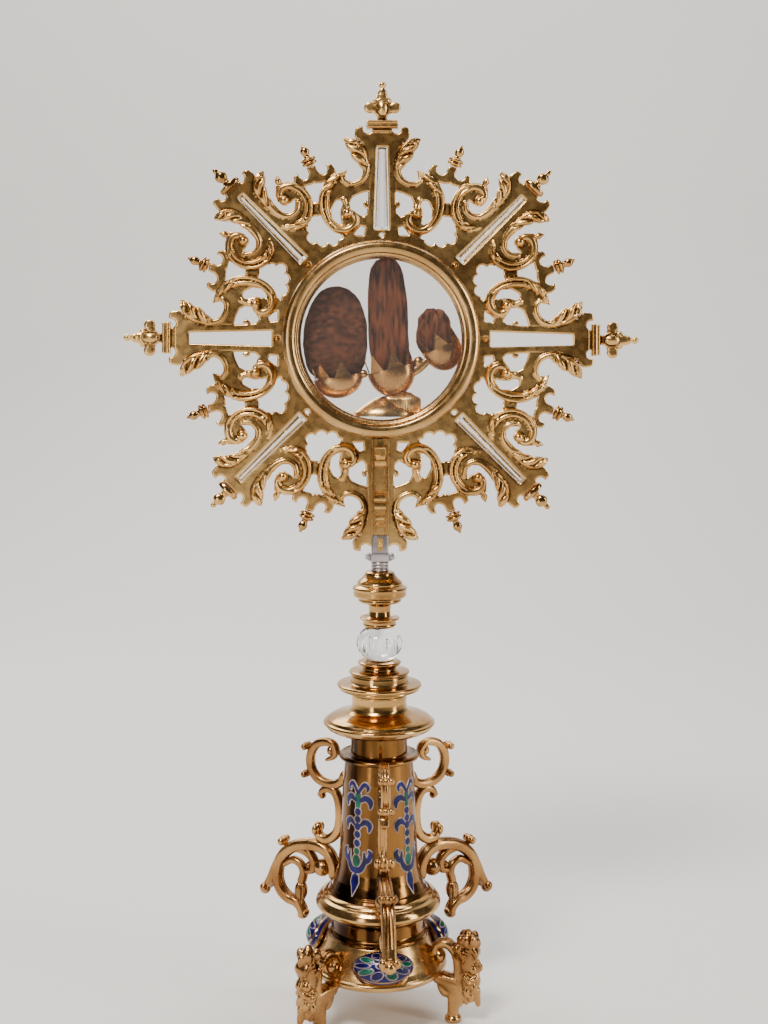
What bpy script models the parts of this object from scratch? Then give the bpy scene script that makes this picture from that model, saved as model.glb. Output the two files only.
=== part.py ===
"""Reliquary monstrance: a pierced sunburst with a round glazed case on a turned stem and three feet.

Metres, +Z up, front towards -Y. Sizes are in steps of the working drawing, 0.54 mm each.
"""
import math

import bmesh
import bpy
import numpy as np
from mathutils import Matrix, Vector, geometry

STEP = 0.00054
GAP = 0.6
HALF = math.sqrt(0.5)

# Heights above the ground and radii, in steps
SUN_HEIGHT = 670.5
PLATE_HALF = 2.3
ARM_END = 207.0
DRUM_OUTER = 90.0
DRUM_WALL = 6.0
DRUM_INNER = DRUM_OUTER - DRUM_WALL
CASE_HALF = 19.0
RIM_STEP = 5.2
RIM_RISE = 10.8
PANE_THICKNESS = 2.4
PANE_DOME = 2.2
STEM_TOP = SUN_HEIGHT - 222.5
STEM_DRAWN_TOP = 448.0
STEM_STRETCH = STEM_TOP / STEM_DRAWN_TOP
BRACKET_TURNS = (5.0, 1.0, 3.0)
BRACKET_STRETCH = 1.1
FOOT_TURN = 14.0
CASE_SIDES = 28
LARGE_SIDES = 18
SMALL_SIDES = 12
DIAGONALS = (45.0, 135.0, 225.0, 315.0)


# Building blocks
def clear_scene():
    for item in list(bpy.data.objects):
        bpy.data.objects.remove(item, do_unlink=True)


def shade(name, colour, metal, rough, clear=0.0):
    mat = bpy.data.materials.new(name)
    mat.use_nodes = True
    node = mat.node_tree.nodes["Principled BSDF"]
    node.inputs["Base Color"].default_value = (*colour, 1.0)
    node.inputs["Metallic"].default_value = metal
    node.inputs["Roughness"].default_value = rough
    node.inputs["Transmission Weight"].default_value = clear
    return mat


def add_solid(name, verts, faces, mat):
    """Closed mesh from points in steps, with its faces turned outwards."""
    mesh = bpy.data.meshes.new(name)
    mesh.from_pydata([tuple(c * STEP for c in v) for v in verts], [], faces)
    body = bmesh.new()
    body.from_mesh(mesh)
    bmesh.ops.triangulate(body, faces=body.faces)
    bmesh.ops.recalc_face_normals(body, faces=body.faces)
    body.to_mesh(mesh)
    body.free()
    mesh.materials.append(mat)
    item = bpy.data.objects.new(name, mesh)
    bpy.context.scene.collection.objects.link(item)
    return item


def smooth(item, crease=40.0):
    """Shades a round piece smooth and keeps its corners sharp."""
    item.data.shade_smooth()
    item.data.set_sharp_from_angle(angle=math.radians(crease))
    return item


def lathe(name, profile, sides, mat, place=None, squash=1.0, closed=False):
    """Turns (radius, height) pairs about +Z; a closed profile makes a ring."""
    verts = []
    rows = []
    for radius, height in profile:
        if radius == 0:
            rows.append([len(verts)])
            verts.append(Vector((0, 0, height)))
            continue
        rows.append(list(range(len(verts), len(verts) + sides)))
        for i in range(sides):
            a = 2 * math.pi * (i + 0.5) / sides
            verts.append(Vector((radius * math.cos(a), radius * squash * math.sin(a), height)))
    faces = []
    pairs = list(zip(rows[:-1], rows[1:]))
    if closed:
        pairs.append((rows[-1], rows[0]))
    for low, high in pairs:
        for i in range(sides):
            j = (i + 1) % sides
            if len(low) == 1:
                faces.append((low[0], high[i], high[j]))
            elif len(high) == 1:
                faces.append((low[i], low[j], high[0]))
            else:
                faces.append((low[i], low[j], high[j], high[i]))
    if not closed:
        for row in (rows[0], rows[-1]):
            if len(row) > 1:
                faces.append(tuple(row))
    if place is not None:
        verts = [place @ v for v in verts]
    return smooth(add_solid(name, verts, faces, mat))


# Signed distances in the plane of a casting, above zero inside the metal
def disc(p, centre, radius):
    return radius - np.hypot(p[0] - centre[0], p[1] - centre[1])


def stroke(p, path):
    """Tapering stroke through (x, y, half width) stops."""
    best = np.full(np.shape(p[0]), -1e9)
    for (ax, ay, ar), (bx, by, br) in zip(path[:-1], path[1:]):
        dx, dy = bx - ax, by - ay
        t = np.clip(((p[0] - ax) * dx + (p[1] - ay) * dy) / (dx * dx + dy * dy), 0, 1)
        far = np.hypot(p[0] - ax - t * dx, p[1] - ay - t * dy)
        best = np.maximum(best, ar + (br - ar) * t - far)
    return best


def patch(p, corners):
    x, y = p
    far = np.full(np.shape(x), 1e9)
    inside = np.zeros(np.shape(x), bool)
    for (ax, ay), (bx, by) in zip(corners, corners[1:] + corners[:1]):
        dx, dy = bx - ax, by - ay
        t = np.clip(((x - ax) * dx + (y - ay) * dy) / (dx * dx + dy * dy), 0, 1)
        far = np.minimum(far, np.hypot(x - ax - t * dx, y - ay - t * dy))
        if ay != by:
            inside ^= ((ay > y) != (by > y)) & (x < (bx - ax) * (y - ay) / (by - ay) + ax)
    return np.where(inside, far, -far)


def strip(along, across, start, end, half_start, half_end):
    half = half_start + (half_end - half_start) * np.clip((along - start) / (end - start), 0, 1)
    return np.minimum(np.minimum(along - start, end - along), half - np.abs(across))


def union(*fields):
    out = fields[0]
    for field in fields[1:]:
        out = np.maximum(out, field)
    return out


def cut(field, *holes):
    for hole in holes:
        field = np.minimum(field, -hole)
    return field


# Plan of one eighth of the sunburst: u outwards along an upright or level arm, v towards the diagonal arm
LEAF_BY_ARM = [(199, 37, 2), (194.5, 30.5, 6.2), (186.5, 24.5, 8), (178.5, 20.5, 6.4), (170, 15.8, 3.6),
               (161, 18.5, 2.9), (155.8, 25.5, 2.7), (154.8, 33, 2.6), (158.5, 39, 2)]
SCROLL_BY_ARM = [(167.5, 35.5, 0.8), (162.5, 44.5, 3), (153, 53, 4.6), (142, 57.5, 5.4), (130, 57.5, 5.2),
                 (119, 53.8, 4.6), (110.7, 46.5, 4.2), (108.2, 37.5, 4), (111.5, 29.5, 3.7), (118.5, 26, 3.5),
                 (125, 29, 3.3), (125.5, 35, 3)]
SCROLL_BY_DIAGONAL = [(111.5, 98, 1.5), (110.8, 90, 3), (114, 81.5, 4.8), (121, 75.4, 5.4), (131, 73, 5),
                      (141, 75.3, 4.6), (149, 82, 4.2), (152.2, 91.5, 4), (149.5, 100, 3.8), (143, 102.6, 3.6),
                      (137, 98, 3.4)]
LEAF_BY_DIAGONAL = [(165.5, 119.5, 2.2), (160, 122, 5.4), (150, 122, 6.6), (140, 117, 5.2), (130.5, 109.5, 4.2),
                    (123.6, 100.5, 3.2), (122.6, 92.5, 2.8), (127.5, 85.5, 2.6), (136, 83.6, 2.4)]


def hooked_ear(along, across, centre):
    """Rounded cusp with a hook and a round bite, on both edges of an arm."""
    q = (along - centre[0], np.abs(across) - centre[1])
    body = union(stroke(q, [(0, 0, 5), (4, 0.4, 4), (5.8, -2.2, 2.4)]),
                 patch(q, [(-12, -14), (-7, 0.5), (0, 4), (5, -8), (2, -14)]))
    return cut(body, disc(q, (6.2, -8.2), 5.0))


def finial_bracket(u, v):
    """Flat bracket with two hooked curls that carries a small finial."""
    a = math.radians(22.5)
    s = u * math.cos(a) + v * math.sin(a) + 1
    t = v * math.cos(a) - u * math.sin(a)
    s = s + 2.2 * np.clip(-t / 10, 0, 1)
    t_abs = np.abs(t)
    body = patch((s, t), [(169, -21), (165, -9), (170, 4), (172, 21), (178, 21), (181, 4.8), (187.5, 4.2),
                          (187.5, -4.2), (181, -4.8), (178, -21)])
    body = union(body, stroke((s, t_abs), [(177.8, 17.4, 4.2), (181.5, 17.6, 3), (183, 15.8, 2.2)]))
    return cut(body, disc((s, t_abs), (182.3, 9.6), 5.1))


def openings(p):
    """Pierced windows of one eighth."""
    crescent = stroke(p, [(116.8, 42, 2.6), (121.5, 45.5, 4.2), (128.5, 45.8, 4.6), (134.5, 43.3, 4)])
    corner = patch(p, [(103.6, 17.6), (111.5, 16.8), (112.8, 21), (108.8, 24.6), (103.8, 27.6)])
    cusped = patch(p, [(122, 18.5), (125.5, 15), (147.5, 14), (145.5, 21), (141.8, 29), (136, 31.8),
                       (130, 31.2), (126, 26)])
    cusped = cut(cusped, disc(p, (134.5, 15), 3.6))
    heart = patch(p, [(99, 38.5), (95, 50), (94, 58), (96, 66), (101, 71), (108, 73.5), (113, 70.8),
                      (120, 69.6), (123.2, 61), (116, 56.5), (108.5, 49.5), (104.2, 41)])
    kite = patch(p, [(134.5, 68.6), (142, 71), (149.2, 76.2), (151.8, 69.3), (156, 68.6), (155.2, 62),
                     (157.2, 56.5), (147, 62.8)])
    return union(crescent, corner, cusped, heart, kite)


def sunburst_field(x, z):
    ax, az = np.abs(x), np.abs(z)
    u, v = np.maximum(ax, az), np.minimum(ax, az)
    p = (u, v)
    radius = np.hypot(u, v)
    s, t = (u + v) * HALF, (u - v) * HALF
    body = union(130 - radius, strip(u, v, 85, ARM_END, 15.6, 11.5), strip(s, t, 85, 160, 17.5, 16.5),
                 strip(s, t, 159, 212, 16.5, 10), disc(p, (129, 37.8), 24.5), disc(p, (132.5, 92), 24))
    webs = union(patch(p, [(146, 13), (168, 12), (157, 27), (157, 40), (150, 56), (136, 50), (138, 32)]),
                 patch(p, [(122, 58), (136, 60), (136, 70), (122, 72)]),
                 patch(p, [(166, 12), (196, 6), (200, 22), (192, 19), (180, 14)]),
                 patch(p, [(124, 100), (131, 112), (150, 127), (158, 128), (150, 140), (130, 130)]),
                 patch(p, [(95, 75), (105, 92), (120, 84), (112, 72)]))
    body = union(body, webs)
    bite = np.minimum(disc(p, (166.5, 31), 12.2), np.maximum(36 - v, u - 168))
    hook = patch(p, [(143, 106), (153, 106), (147, 114.5), (139, 113.5), (130, 105.5), (125.8, 98), (125.6, 91),
                     (130, 87), (139, 86.6), (135.5, 92), (134, 98), (137, 104)])
    body = cut(body, bite, hook)
    tail = patch(p, [(146, 56), (153, 56), (160, 49), (164, 43.5), (167.6, 35.4), (157.5, 37), (152, 40),
                     (143, 45)])
    body = union(body, tail, finial_bracket(u, v), hooked_ear(u, v, (204, 22.6)), hooked_ear(s, t, (207.6, 20.6)))
    body = cut(body, openings(p))
    scrolls = union(stroke(p, LEAF_BY_ARM), stroke(p, SCROLL_BY_ARM), stroke(p, SCROLL_BY_DIAGONAL),
                    stroke(p, LEAF_BY_DIAGONAL), disc(p, (119.5, 32), 8.9), disc(p, (143.3, 95.5), 9))
    buds = union(stroke(p, [(126, 36, 2), (131, 39, 2.6)]), stroke(p, [(130, 33, 3), (141, 38, 3.5)]),
                 stroke(p, [(151, 101.5, 2.4), (156, 103.6, 1.6), (161, 104.6, 2.4)]))
    body = union(body, scrolls, buds)
    slots = union(strip(u, v, 109.5, 192, 7.6, 5.4), strip(s, t, 110.5, 200.5, 5, 3.4))
    return cut(body, slots, DRUM_OUTER + GAP - radius)


def trim_loop(points, tolerance):
    """Drops the points of a closed loop that lie within the tolerance of the line through their neighbours."""
    def thin(run):
        start, end = run[0], run[-1]
        line = end - start
        length = np.hypot(*line)
        offset = run - start
        if length < 1e-9:
            far = np.hypot(offset[:, 0], offset[:, 1])
        else:
            far = np.abs(offset[:, 0] * line[1] - offset[:, 1] * line[0]) / length
        worst = int(np.argmax(far))
        if far[worst] <= tolerance:
            return [start, end]
        return thin(run[:worst + 1])[:-1] + thin(run[worst:])

    middle = int(np.argmax(np.hypot(*(points - points[0]).T)))
    first = thin(points[:middle + 1])
    second = thin(np.vstack([points[middle:], points[:1]]))
    return np.array(first[:-1] + second[:-1])


def outline(field, box, pitch, tolerance):
    """Loops round the metal of a field, by walking the cells that its edge crosses."""
    xs = np.arange(box[0], box[1] + pitch / 2, pitch)
    ys = np.arange(box[2], box[3] + pitch / 2, pitch)
    values = field(*np.meshgrid(xs, ys, indexing="ij"))
    values = np.where(np.abs(values) < 1e-6, 1e-6, values)
    inside = values > 0
    links = {}

    def crossing(i, j, k, m):
        a, b = values[i, j], values[k, m]
        share = float(np.clip(a / (a - b), 0.02, 0.98))
        return (xs[i] + (xs[k] - xs[i]) * share, ys[j] + (ys[m] - ys[j]) * share)

    spots = {}
    total = (inside[:-1, :-1].astype(int) + inside[1:, :-1] + inside[:-1, 1:] + inside[1:, 1:])
    for i, j in zip(*np.nonzero((total > 0) & (total < 4))):
        corners = [(i, j), (i + 1, j), (i + 1, j + 1), (i, j + 1)]
        found = []
        for a, b in zip(corners, corners[1:] + corners[:1]):
            if inside[a] != inside[b]:
                key = (min(a, b), max(a, b))
                spots[key] = crossing(*key[0], *key[1])
                found.append((key, inside[a]))
        if len(found) == 4 and not found[0][1]:
            found = found[1:] + found[:1]
        for (one, _), (two, _) in zip(found[::2], found[1::2]):
            links.setdefault(one, []).append(two)
            links.setdefault(two, []).append(one)
    loops = []
    left = set(links)
    for start in sorted(links):
        if start not in left:
            continue
        loop = [start]
        left.discard(start)
        while True:
            following = [k for k in links[loop[-1]] if k in left]
            if not following:
                break
            loop.append(following[0])
            left.discard(following[0])
        points = trim_loop(np.array([spots[k] for k in loop]), tolerance)
        if len(points) > 2:
            loops.append(points)
    return loops


def inside_loops(x, y, loops):
    hit = np.zeros(len(x), bool)
    for loop in loops:
        for (ax, ay), (bx, by) in zip(loop, np.roll(loop, -1, axis=0)):
            if ay != by:
                hit ^= ((ay > y) != (by > y)) & (x < (bx - ax) * (y - ay) / (by - ay) + ax)
    return hit


def casting(name, field, box, half, mat, place, pitch=1.0, tolerance=0.3):
    """Casting with the outline of a field; half is its half thickness at (x, y)."""
    loops = outline(field, box, pitch, tolerance)
    flat = [Vector(p) for loop in loops for p in loop]
    edges = []
    base = 0
    for loop in loops:
        edges += [(base + i, base + (i + 1) % len(loop)) for i in range(len(loop))]
        base += len(loop)
    points, _, faces, origin, _, _ = geometry.delaunay_2d_cdt(flat, edges, [], 0, 1e-6)
    where = {old: new for new, olds in enumerate(origin) for old in olds}
    xy = np.array([tuple(p) for p in points])
    middles = np.array([xy[list(f)].mean(axis=0) for f in faces])
    keep = inside_loops(middles[:, 0], middles[:, 1], loops)
    faces = [tuple(f) for f, k in zip(faces, keep) if k]
    count = len(points)
    verts = [place @ Vector((x, y, half(x, y))) for x, y in xy]
    verts += [place @ Vector((x, y, -half(x, y))) for x, y in xy]
    solid = faces + [tuple(i + count for i in reversed(f)) for f in faces]
    for a, b in edges:
        a, b = where[a], where[b]
        solid.append((a, b, b + count, a + count))
    return add_solid(name, verts, solid, mat)


# Places of the pieces
def sun_place(turn=0.0, depth=0.0):
    """Takes x across, y up and z forwards to the plane of the sunburst, turned about its centre."""
    stand = Matrix(((1, 0, 0), (0, 0, -1), (0, 1, 0))).to_4x4()
    spin = Matrix.Rotation(math.radians(turn), 4, "Z")
    return Matrix.Translation((0, -depth, SUN_HEIGHT)) @ stand @ spin


def arm_place(turn):
    """Takes +Z to the outward direction of an arm, turn degrees round from the right-hand arm."""
    a = math.radians(turn)
    out = Vector((math.cos(a), 0, math.sin(a)))
    front = Vector((0, -1, 0))
    side = front.cross(out)
    spin = Matrix((side, front, out)).transposed().to_4x4()
    return Matrix.Translation((0, 0, SUN_HEIGHT)) @ spin


def radial_place(index, turn):
    """Takes x outwards and y up to the upright plane of one of three brackets or feet, turned from the front."""
    a = math.radians(-90 + turn + 120 * index)
    out = Vector((math.cos(a), math.sin(a), 0))
    up = Vector((0, 0, 1))
    side = out.cross(up)
    return stem_place() @ Matrix((out, up, side)).transposed().to_4x4()


def stem_place():
    """Stretches the drawn levels of the stem and foot so that they meet the tang."""
    return Matrix.Diagonal((1, 1, STEM_STRETCH, 1))


# Sunburst
def build_plate(gold):
    span = 214.0
    casting("sunburst_plate", sunburst_field, (-span, span, -span, span), lambda x, y: PLATE_HALF, gold,
            sun_place(), pitch=1.0, tolerance=1.3)


def build_case(gold, glass):
    case = Matrix.Translation((0, 0, SUN_HEIGHT)) @ Matrix.Rotation(math.radians(90), 4, "X")
    back = case @ Matrix.Rotation(math.radians(180), 4, "Y")
    foot, crown = CASE_HALF + GAP, CASE_HALF + RIM_RISE
    rim = [(DRUM_INNER - 2.5, crown - 3.8), (DRUM_INNER + 1, crown), (DRUM_OUTER + 1.5, crown - 0.4),
           (DRUM_OUTER + RIM_STEP, crown - 4.4), (DRUM_OUTER + RIM_STEP, foot), (DRUM_INNER, foot),
           (DRUM_INNER, crown - 4.8)]
    drum = [(DRUM_INNER, -CASE_HALF), (DRUM_OUTER, -CASE_HALF), (DRUM_OUTER, CASE_HALF), (DRUM_INNER, CASE_HALF)]
    edge, inner = DRUM_INNER - 0.8, CASE_HALF + 0.8
    pane = [(0, inner + PANE_DOME), (edge, inner), (edge, inner + PANE_THICKNESS),
            (0, inner + PANE_DOME + PANE_THICKNESS)]
    lathe("case_drum", drum, CASE_SIDES, gold, case, closed=True)
    for side, place in (("front", case), ("back", back)):
        lathe(f"{side}_ring", rim, CASE_SIDES, gold, place, closed=True)
        lathe(f"{side}_glass", pane, CASE_SIDES, glass, place)


def build_crystal(name, turn, start, end, wide_start, wide_end, glass):
    """Ridged bar of rock crystal that fills the slot of an arm."""
    place = arm_place(turn)
    verts = []
    for along, half in ((start, wide_start), (end, wide_end)):
        for x, y in ((half, 1.2), (0, 4.2), (-half, 1.2), (-half, -1.2), (0, -3.2), (half, -1.2)):
            verts.append(place @ Vector((x, y, along)))
    faces = [(0, 1, 2, 3, 4, 5), (6, 7, 8, 9, 10, 11)]
    faces += [(i, (i + 1) % 6, (i + 1) % 6 + 6, i + 6) for i in range(6)]
    add_solid(name, verts, faces, glass)


def cross_finial_field(x, s):
    """Abacus and trefoil cross that end an arm; s runs outwards."""
    t = np.abs(x)
    body = union(strip(s, x, ARM_END + GAP, 211, 9.4, 9.4), strip(s, x, 210, 218.6, 16, 15.4),
                 strip(s, x, 218, 226, 5, 4.6), disc((t, s), (0, 229.5), 8.4), disc((t, s), (12.6, 231.4), 5.7),
                 stroke((t, s), [(0, 229, 5.6), (11, 231, 4.6)]), disc((t, s), (6, 238), 3.2),
                 stroke((t, s), [(0, 237, 7), (0, 245, 4.8), (0, 251, 1.8)]), disc((t, s), (0, 253.6), 3.6))
    return body


def build_finials(gold):
    for side, turn in (("top", 90), ("left", 180), ("right", 0)):
        casting(f"finial_{side}", cross_finial_field, (-20, 20, 205, 260),
                lambda x, s: 5.5 if s < 219 else 3.4, gold, sun_place(turn - 90), pitch=0.8, tolerance=0.7)
    acorn = [(7, 212.6), (11.7, 215.5), (11.4, 218.4), (3.4, 222.4), (6.3, 228), (2.2, 234.4), (0, 239)]
    for index, turn in enumerate(DIAGONALS):
        lathe(f"acorn_finial_{index + 1}", acorn, 10, gold, arm_place(turn), squash=0.6)
    baluster = [(4, 187.6), (7.6, 189.6), (8.2, 192), (3, 196), (4.7, 202), (0, 209.4)]
    for index in range(8):
        quarter, mirrored = divmod(index, 2)
        turn = 90 * quarter + (67.5 if mirrored else 22.5)
        lathe(f"small_finial_{index + 1}", baluster, 8, gold, arm_place(turn), squash=0.7)


def stacked(name, levels, depth, mat):
    """Square moulding from (half width, level above the stem's top, step forwards); depth gives its faces."""
    verts = []
    for half, level, extra in levels:
        height = STEM_TOP + level
        front, back = depth[0] - extra, depth[1]
        verts += [(-half, front, height), (half, front, height), (half, back, height), (-half, back, height)]
    faces = [(0, 1, 2, 3), tuple(range(len(verts) - 4, len(verts)))]
    for row in range(len(levels) - 1):
        for i in range(4):
            j = (i + 1) % 4
            faces.append((row * 4 + i, row * 4 + j, row * 4 + 4 + j, row * 4 + 4 + i))
    return add_solid(name, verts, faces, mat)


def build_support(gold, steel):
    """Pilaster in front of the bottom arm and the steel tang below it."""
    levels = [(9.8, 27.6, 0), (9.8, 41, 0), (10.6, 42, 2), (10.6, 45, 2), (9, 46, -1), (9, 52, -1),
              (10.6, 53, 3), (10.6, 64, 3), (10.6, 70, 2), (8.6, 71.5, -1.5), (8.6, 95, -1.5),
              (10.6, 97, 2), (10.6, 103, 2), (9.4, 105, 0), (9.4, 111, 0), (10.8, 113, 3), (10.8, 123, 3)]
    stacked("pilaster", levels, (-13, -PLATE_HALF - GAP), gold)
    tang = [(7.6, 8.6, 0), (8, 27, 0)]
    stacked("steel_tang", tang, (-12, -PLATE_HALF - GAP), steel)
    foot = [(14.5, GAP, 0), (14.5, 5, 0), (10, 8, 0)]
    stacked("tang_foot", foot, (-12, 10), steel)


# Stem
# Turned profiles of the stem, from the top down
FERRULE_DOME = [(9.4, 448), (9.4, 438.6), (16.5, 438), (18, 433), (22.8, 427), (27.2, 422.5), (27.2, 415),
                (21.5, 414), (21.5, 408.5), (12, 407), (10.5, 394.2)]
UPPER_COLLAR = [(14, 393.6), (20, 392.6), (20, 389.8), (16.5, 389), (16.5, 384.2)]
CRYSTAL_KNOP = [(13, 383.6), (18.5, 380), (22, 374), (22.6, 367.5), (22, 361), (18.5, 355), (13, 351.6)]
LOWER_COLLAR = [(14, 351), (14, 348.8), (21.9, 348), (21.9, 345.4), (16.7, 344.6), (16.7, 341)]
STEPPED_DISCS = [(24, 340.4), (30.3, 339), (30.3, 337.4), (28.8, 336.6), (28.8, 327.6), (42.2, 326.6),
                 (42.2, 321.4), (34, 320.6)]
WIDE_KNOP = [(29, 320), (28, 316), (27.5, 308), (29, 302), (35, 299), (48, 295.4), (53.4, 292.5), (55.8, 287.5),
             (50, 282), (40, 279), (28.2, 277.6)]
STEM_DRUM = [(28.2, 277), (28.2, 257), (39.4, 256.2), (40.2, 254), (38, 252)]
COLUMN = [(34, 251.4), (35.8, 233), (37, 197), (39.2, 158), (43, 135), (50, 122.6)]
FOOT_FLANGE = [(50, 122), (57, 118.4), (61, 113), (62, 109), (60, 106.6), (49.5, 105.6)]
FOOT_DRUM = [(49.5, 105), (49.5, 100), (46.5, 98), (46.5, 84), (49.5, 81.6), (49.5, 80.4)]


def build_stem(gold, glass):
    for name, profile in (("ferrule_dome", FERRULE_DOME), ("upper_collar", UPPER_COLLAR),
                          ("lower_collar", LOWER_COLLAR)):
        lathe(name, profile, SMALL_SIDES, gold, stem_place())
    lathe("crystal_knop", CRYSTAL_KNOP, SMALL_SIDES, glass, stem_place())
    for name, profile in (("stepped_discs", STEPPED_DISCS), ("wide_knop", WIDE_KNOP), ("stem_drum", STEM_DRUM),
                          ("column", COLUMN), ("foot_flange", FOOT_FLANGE), ("foot_drum", FOOT_DRUM)):
        lathe(name, profile, LARGE_SIDES, gold, stem_place())


BOSS_RISE = 18.5
SKIRT_TOP = (50.0, 79.8)
SKIRT_FOOT = (67.0, 52.0)


def build_base(gold):
    profile = [SKIRT_TOP, (54, 71), (59, 62), SKIRT_FOOT, (67.6, 50.5), (66.6, 46)]
    lathe("base_skirt", profile, LARGE_SIDES, gold, stem_place())


def build_boss(index, enamel):
    """Domed oval boss that sits on the sloping skirt."""
    place = stem_place() @ Matrix.Rotation(math.radians(-90 + BRACKET_TURNS[index] + 120 * index), 4, "Z")
    slope = Vector((SKIRT_FOOT[0] - SKIRT_TOP[0], SKIRT_FOOT[1] - SKIRT_TOP[1]))
    length = slope.length
    along = slope / length
    out = Vector((-along.y, along.x))
    middle = Vector(((SKIRT_TOP[0] + SKIRT_FOOT[0]) / 2, (SKIRT_TOP[1] + SKIRT_FOOT[1]) / 2))
    ring_count, sides = 3, 14
    verts = []

    def point(share, angle, lift):
        down = share * 15.4 * math.sin(angle)
        across = share * 31 * math.cos(angle)
        spot = middle + along * down
        turn = across / 62.0
        base = spot + out * lift
        return place @ Vector((base.x * math.cos(turn), base.x * math.sin(turn), base.y))

    verts.append(point(0, 0, BOSS_RISE))
    for ring in range(1, ring_count + 1):
        share = math.sin(math.pi / 2 * ring / ring_count)
        lift = 1.6 + (BOSS_RISE - 1.6) * math.cos(math.pi / 2 * ring / ring_count)
        verts += [point(share, 2 * math.pi * i / sides, lift) for i in range(sides)]
    verts += [point(1, 2 * math.pi * i / sides, 1.0) for i in range(sides)]
    verts.append(point(0, 0, 1.0))
    faces = []
    last = len(verts) - 1
    for i in range(sides):
        j = (i + 1) % sides
        faces.append((0, 1 + i, 1 + j))
        for ring in range(ring_count):
            a, b = 1 + ring * sides, 1 + (ring + 1) * sides
            faces.append((a + i, b + i, b + j, a + j))
        faces.append((last, 1 + ring_count * sides + j, 1 + ring_count * sides + i))
    smooth(add_solid(f"enamel_boss_{index + 1}", verts, faces, enamel))


def core_radius(height):
    """Radius of the column, foot flange and foot drum at a height."""
    heights = (80, 104, 106, 109, 113, 118.4, 123, 135, 158, 197, 233, 251.4, 252, 256.5, 257.5)
    radii = (49.5, 49.5, 60.5, 62, 61, 57.4, 50.4, 43, 39.2, 37, 35.8, 34, 40.2, 40.2, 28.2)
    return np.interp(height, heights, radii)


def bracket_field(r, h):
    """Scrolled bracket in its upright plane; r outwards, h up, drawn narrower than it reaches."""
    p = (40 + (r - 40) / BRACKET_STRETCH, h)
    upper = union(stroke(p, [(38, 226, 4), (47, 219, 3.6), (58, 218, 3.6), (70, 223, 3.6), (77, 233, 3.4),
                             (76.5, 247, 3.4), (68, 257.5, 3.4), (57, 259.5, 3.4), (48, 255, 3.2), (46, 246, 3.2),
                             (52, 241.5, 3.6)]),
                  stroke(p, [(76, 250, 2.2), (81, 252, 3.8)]), stroke(p, [(77, 228, 2.2), (81.5, 224.6, 3.8)]),
                  stroke(p, [(47, 219, 3), (56, 210.5, 3), (63, 208, 3.4)]))
    run = union(stroke(p, [(41, 226, 4), (40.5, 208, 3.8), (42, 176, 4)]),
                stroke(p, [(42, 180, 4), (50, 166, 4), (60, 161, 3.6), (66.8, 165.5, 4.8)]))
    lower = union(stroke(p, [(50.6, 121.8, 9.4), (50.6, 121.9, 9.4)]),
                  stroke(p, [(50, 128, 5), (53, 141, 4.4), (60, 149.6, 4.8), (70, 152.4, 5), (82, 151, 5),
                             (96, 145, 5), (108, 134, 5.2), (114, 118, 5.2), (109, 103, 5), (98.5, 93, 5),
                             (88.5, 91, 4.6), (84, 84, 4.6)]),
                  stroke(p, [(58, 158, 4.4), (66, 154, 4.6)]),
                  stroke(p, [(103, 141, 3), (106.6, 146.4, 5)]), stroke(p, [(113, 106, 3.4), (124.4, 98.6, 5.8)]),
                  stroke(p, [(86, 150, 3.4), (75, 144, 3.2), (69.5, 134, 3.6)]),
                  stroke(p, [(98, 126, 2.4), (84, 128, 3), (81, 118, 6), (80.6, 104, 6), (88, 95, 3)]))
    return np.minimum(union(upper, run, lower), r - core_radius(h) - GAP * 1.6)


def bracket_half(r, h):
    return 7.2 if h < 172 else 4.6


def foot_field(r, h):
    """Mask-and-scroll foot in its upright plane."""
    p = (60 + (r - 60) * 1.07, h)
    mask = union(patch(p, [(84, 76), (88, 84), (95, 91), (102, 91), (105, 80), (104, 66), (107, 56), (106, 40),
                           (104, 25), (99, 22), (92, 26), (86, 20), (80, 24), (80, 40), (79, 60)]),
                 disc(p, (97, 88), 5), disc(p, (87, 77), 4.6), disc(p, (104, 26), 4.2), disc(p, (88, 22), 4))
    scroll = union(stroke(p, [(82, 40, 5), (82.4, 58, 4.4), (77, 69.5, 4.2), (67, 73.6, 4), (58, 69, 4)]),
                   disc(p, (61.6, 60), 8.6))
    ledge = patch(p, [(57, 45.3), (84, 45.3), (84, 34), (66, 32)])
    shank = union(ledge, disc(p, (65, 36), 6.6), disc(p, (75.6, 26), 8),
                  stroke(p, [(65, 36, 6), (75, 27, 7), (82, 38, 6)]), strip(h, r - 78.6, 2, 30, 7.4, 6),
                  strip(h, r - 78.6, 0, 5.6, 9.4, 8))
    metal = union(mask, scroll, shank)
    clear = GAP * 1.6
    base = np.interp(h, (45, 45.1, 50.5, 52, 62, 71, 79.8, 80), (0, 67.6, 68.4, 68, 60, 55, 51, 51))
    return np.minimum(metal, r - base - clear)


def foot_half(r, h):
    return 6.4 + 5.0 * min(max((r - 80) / 6, 0), 1) if h > 14 else 8.0


def build_supports(gold):
    for index in range(3):
        casting(f"bracket_{index + 1}", bracket_field, (30, 146, 70, 268), bracket_half, gold,
                radial_place(index, BRACKET_TURNS[index]), pitch=0.9, tolerance=1.3)
        casting(f"foot_{index + 1}", foot_field, (45, 115, -4, 98), foot_half, gold,
                radial_place(index, 60 + FOOT_TURN), pitch=0.9, tolerance=0.4)


def centre_on_origin():
    """Sets the middle of the footprint over the origin and the feet on the ground."""
    bpy.context.view_layer.update()
    items = [o for o in bpy.data.objects if o.type == "MESH"]
    corners = np.array([tuple(v.co) for o in items for v in o.data.vertices])
    low, high = corners.min(axis=0), corners.max(axis=0)
    shift = Vector((-(low[0] + high[0]) / 2, -(low[1] + high[1]) / 2, -low[2]))
    for item in items:
        item.data.transform(Matrix.Translation(shift))


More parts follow.
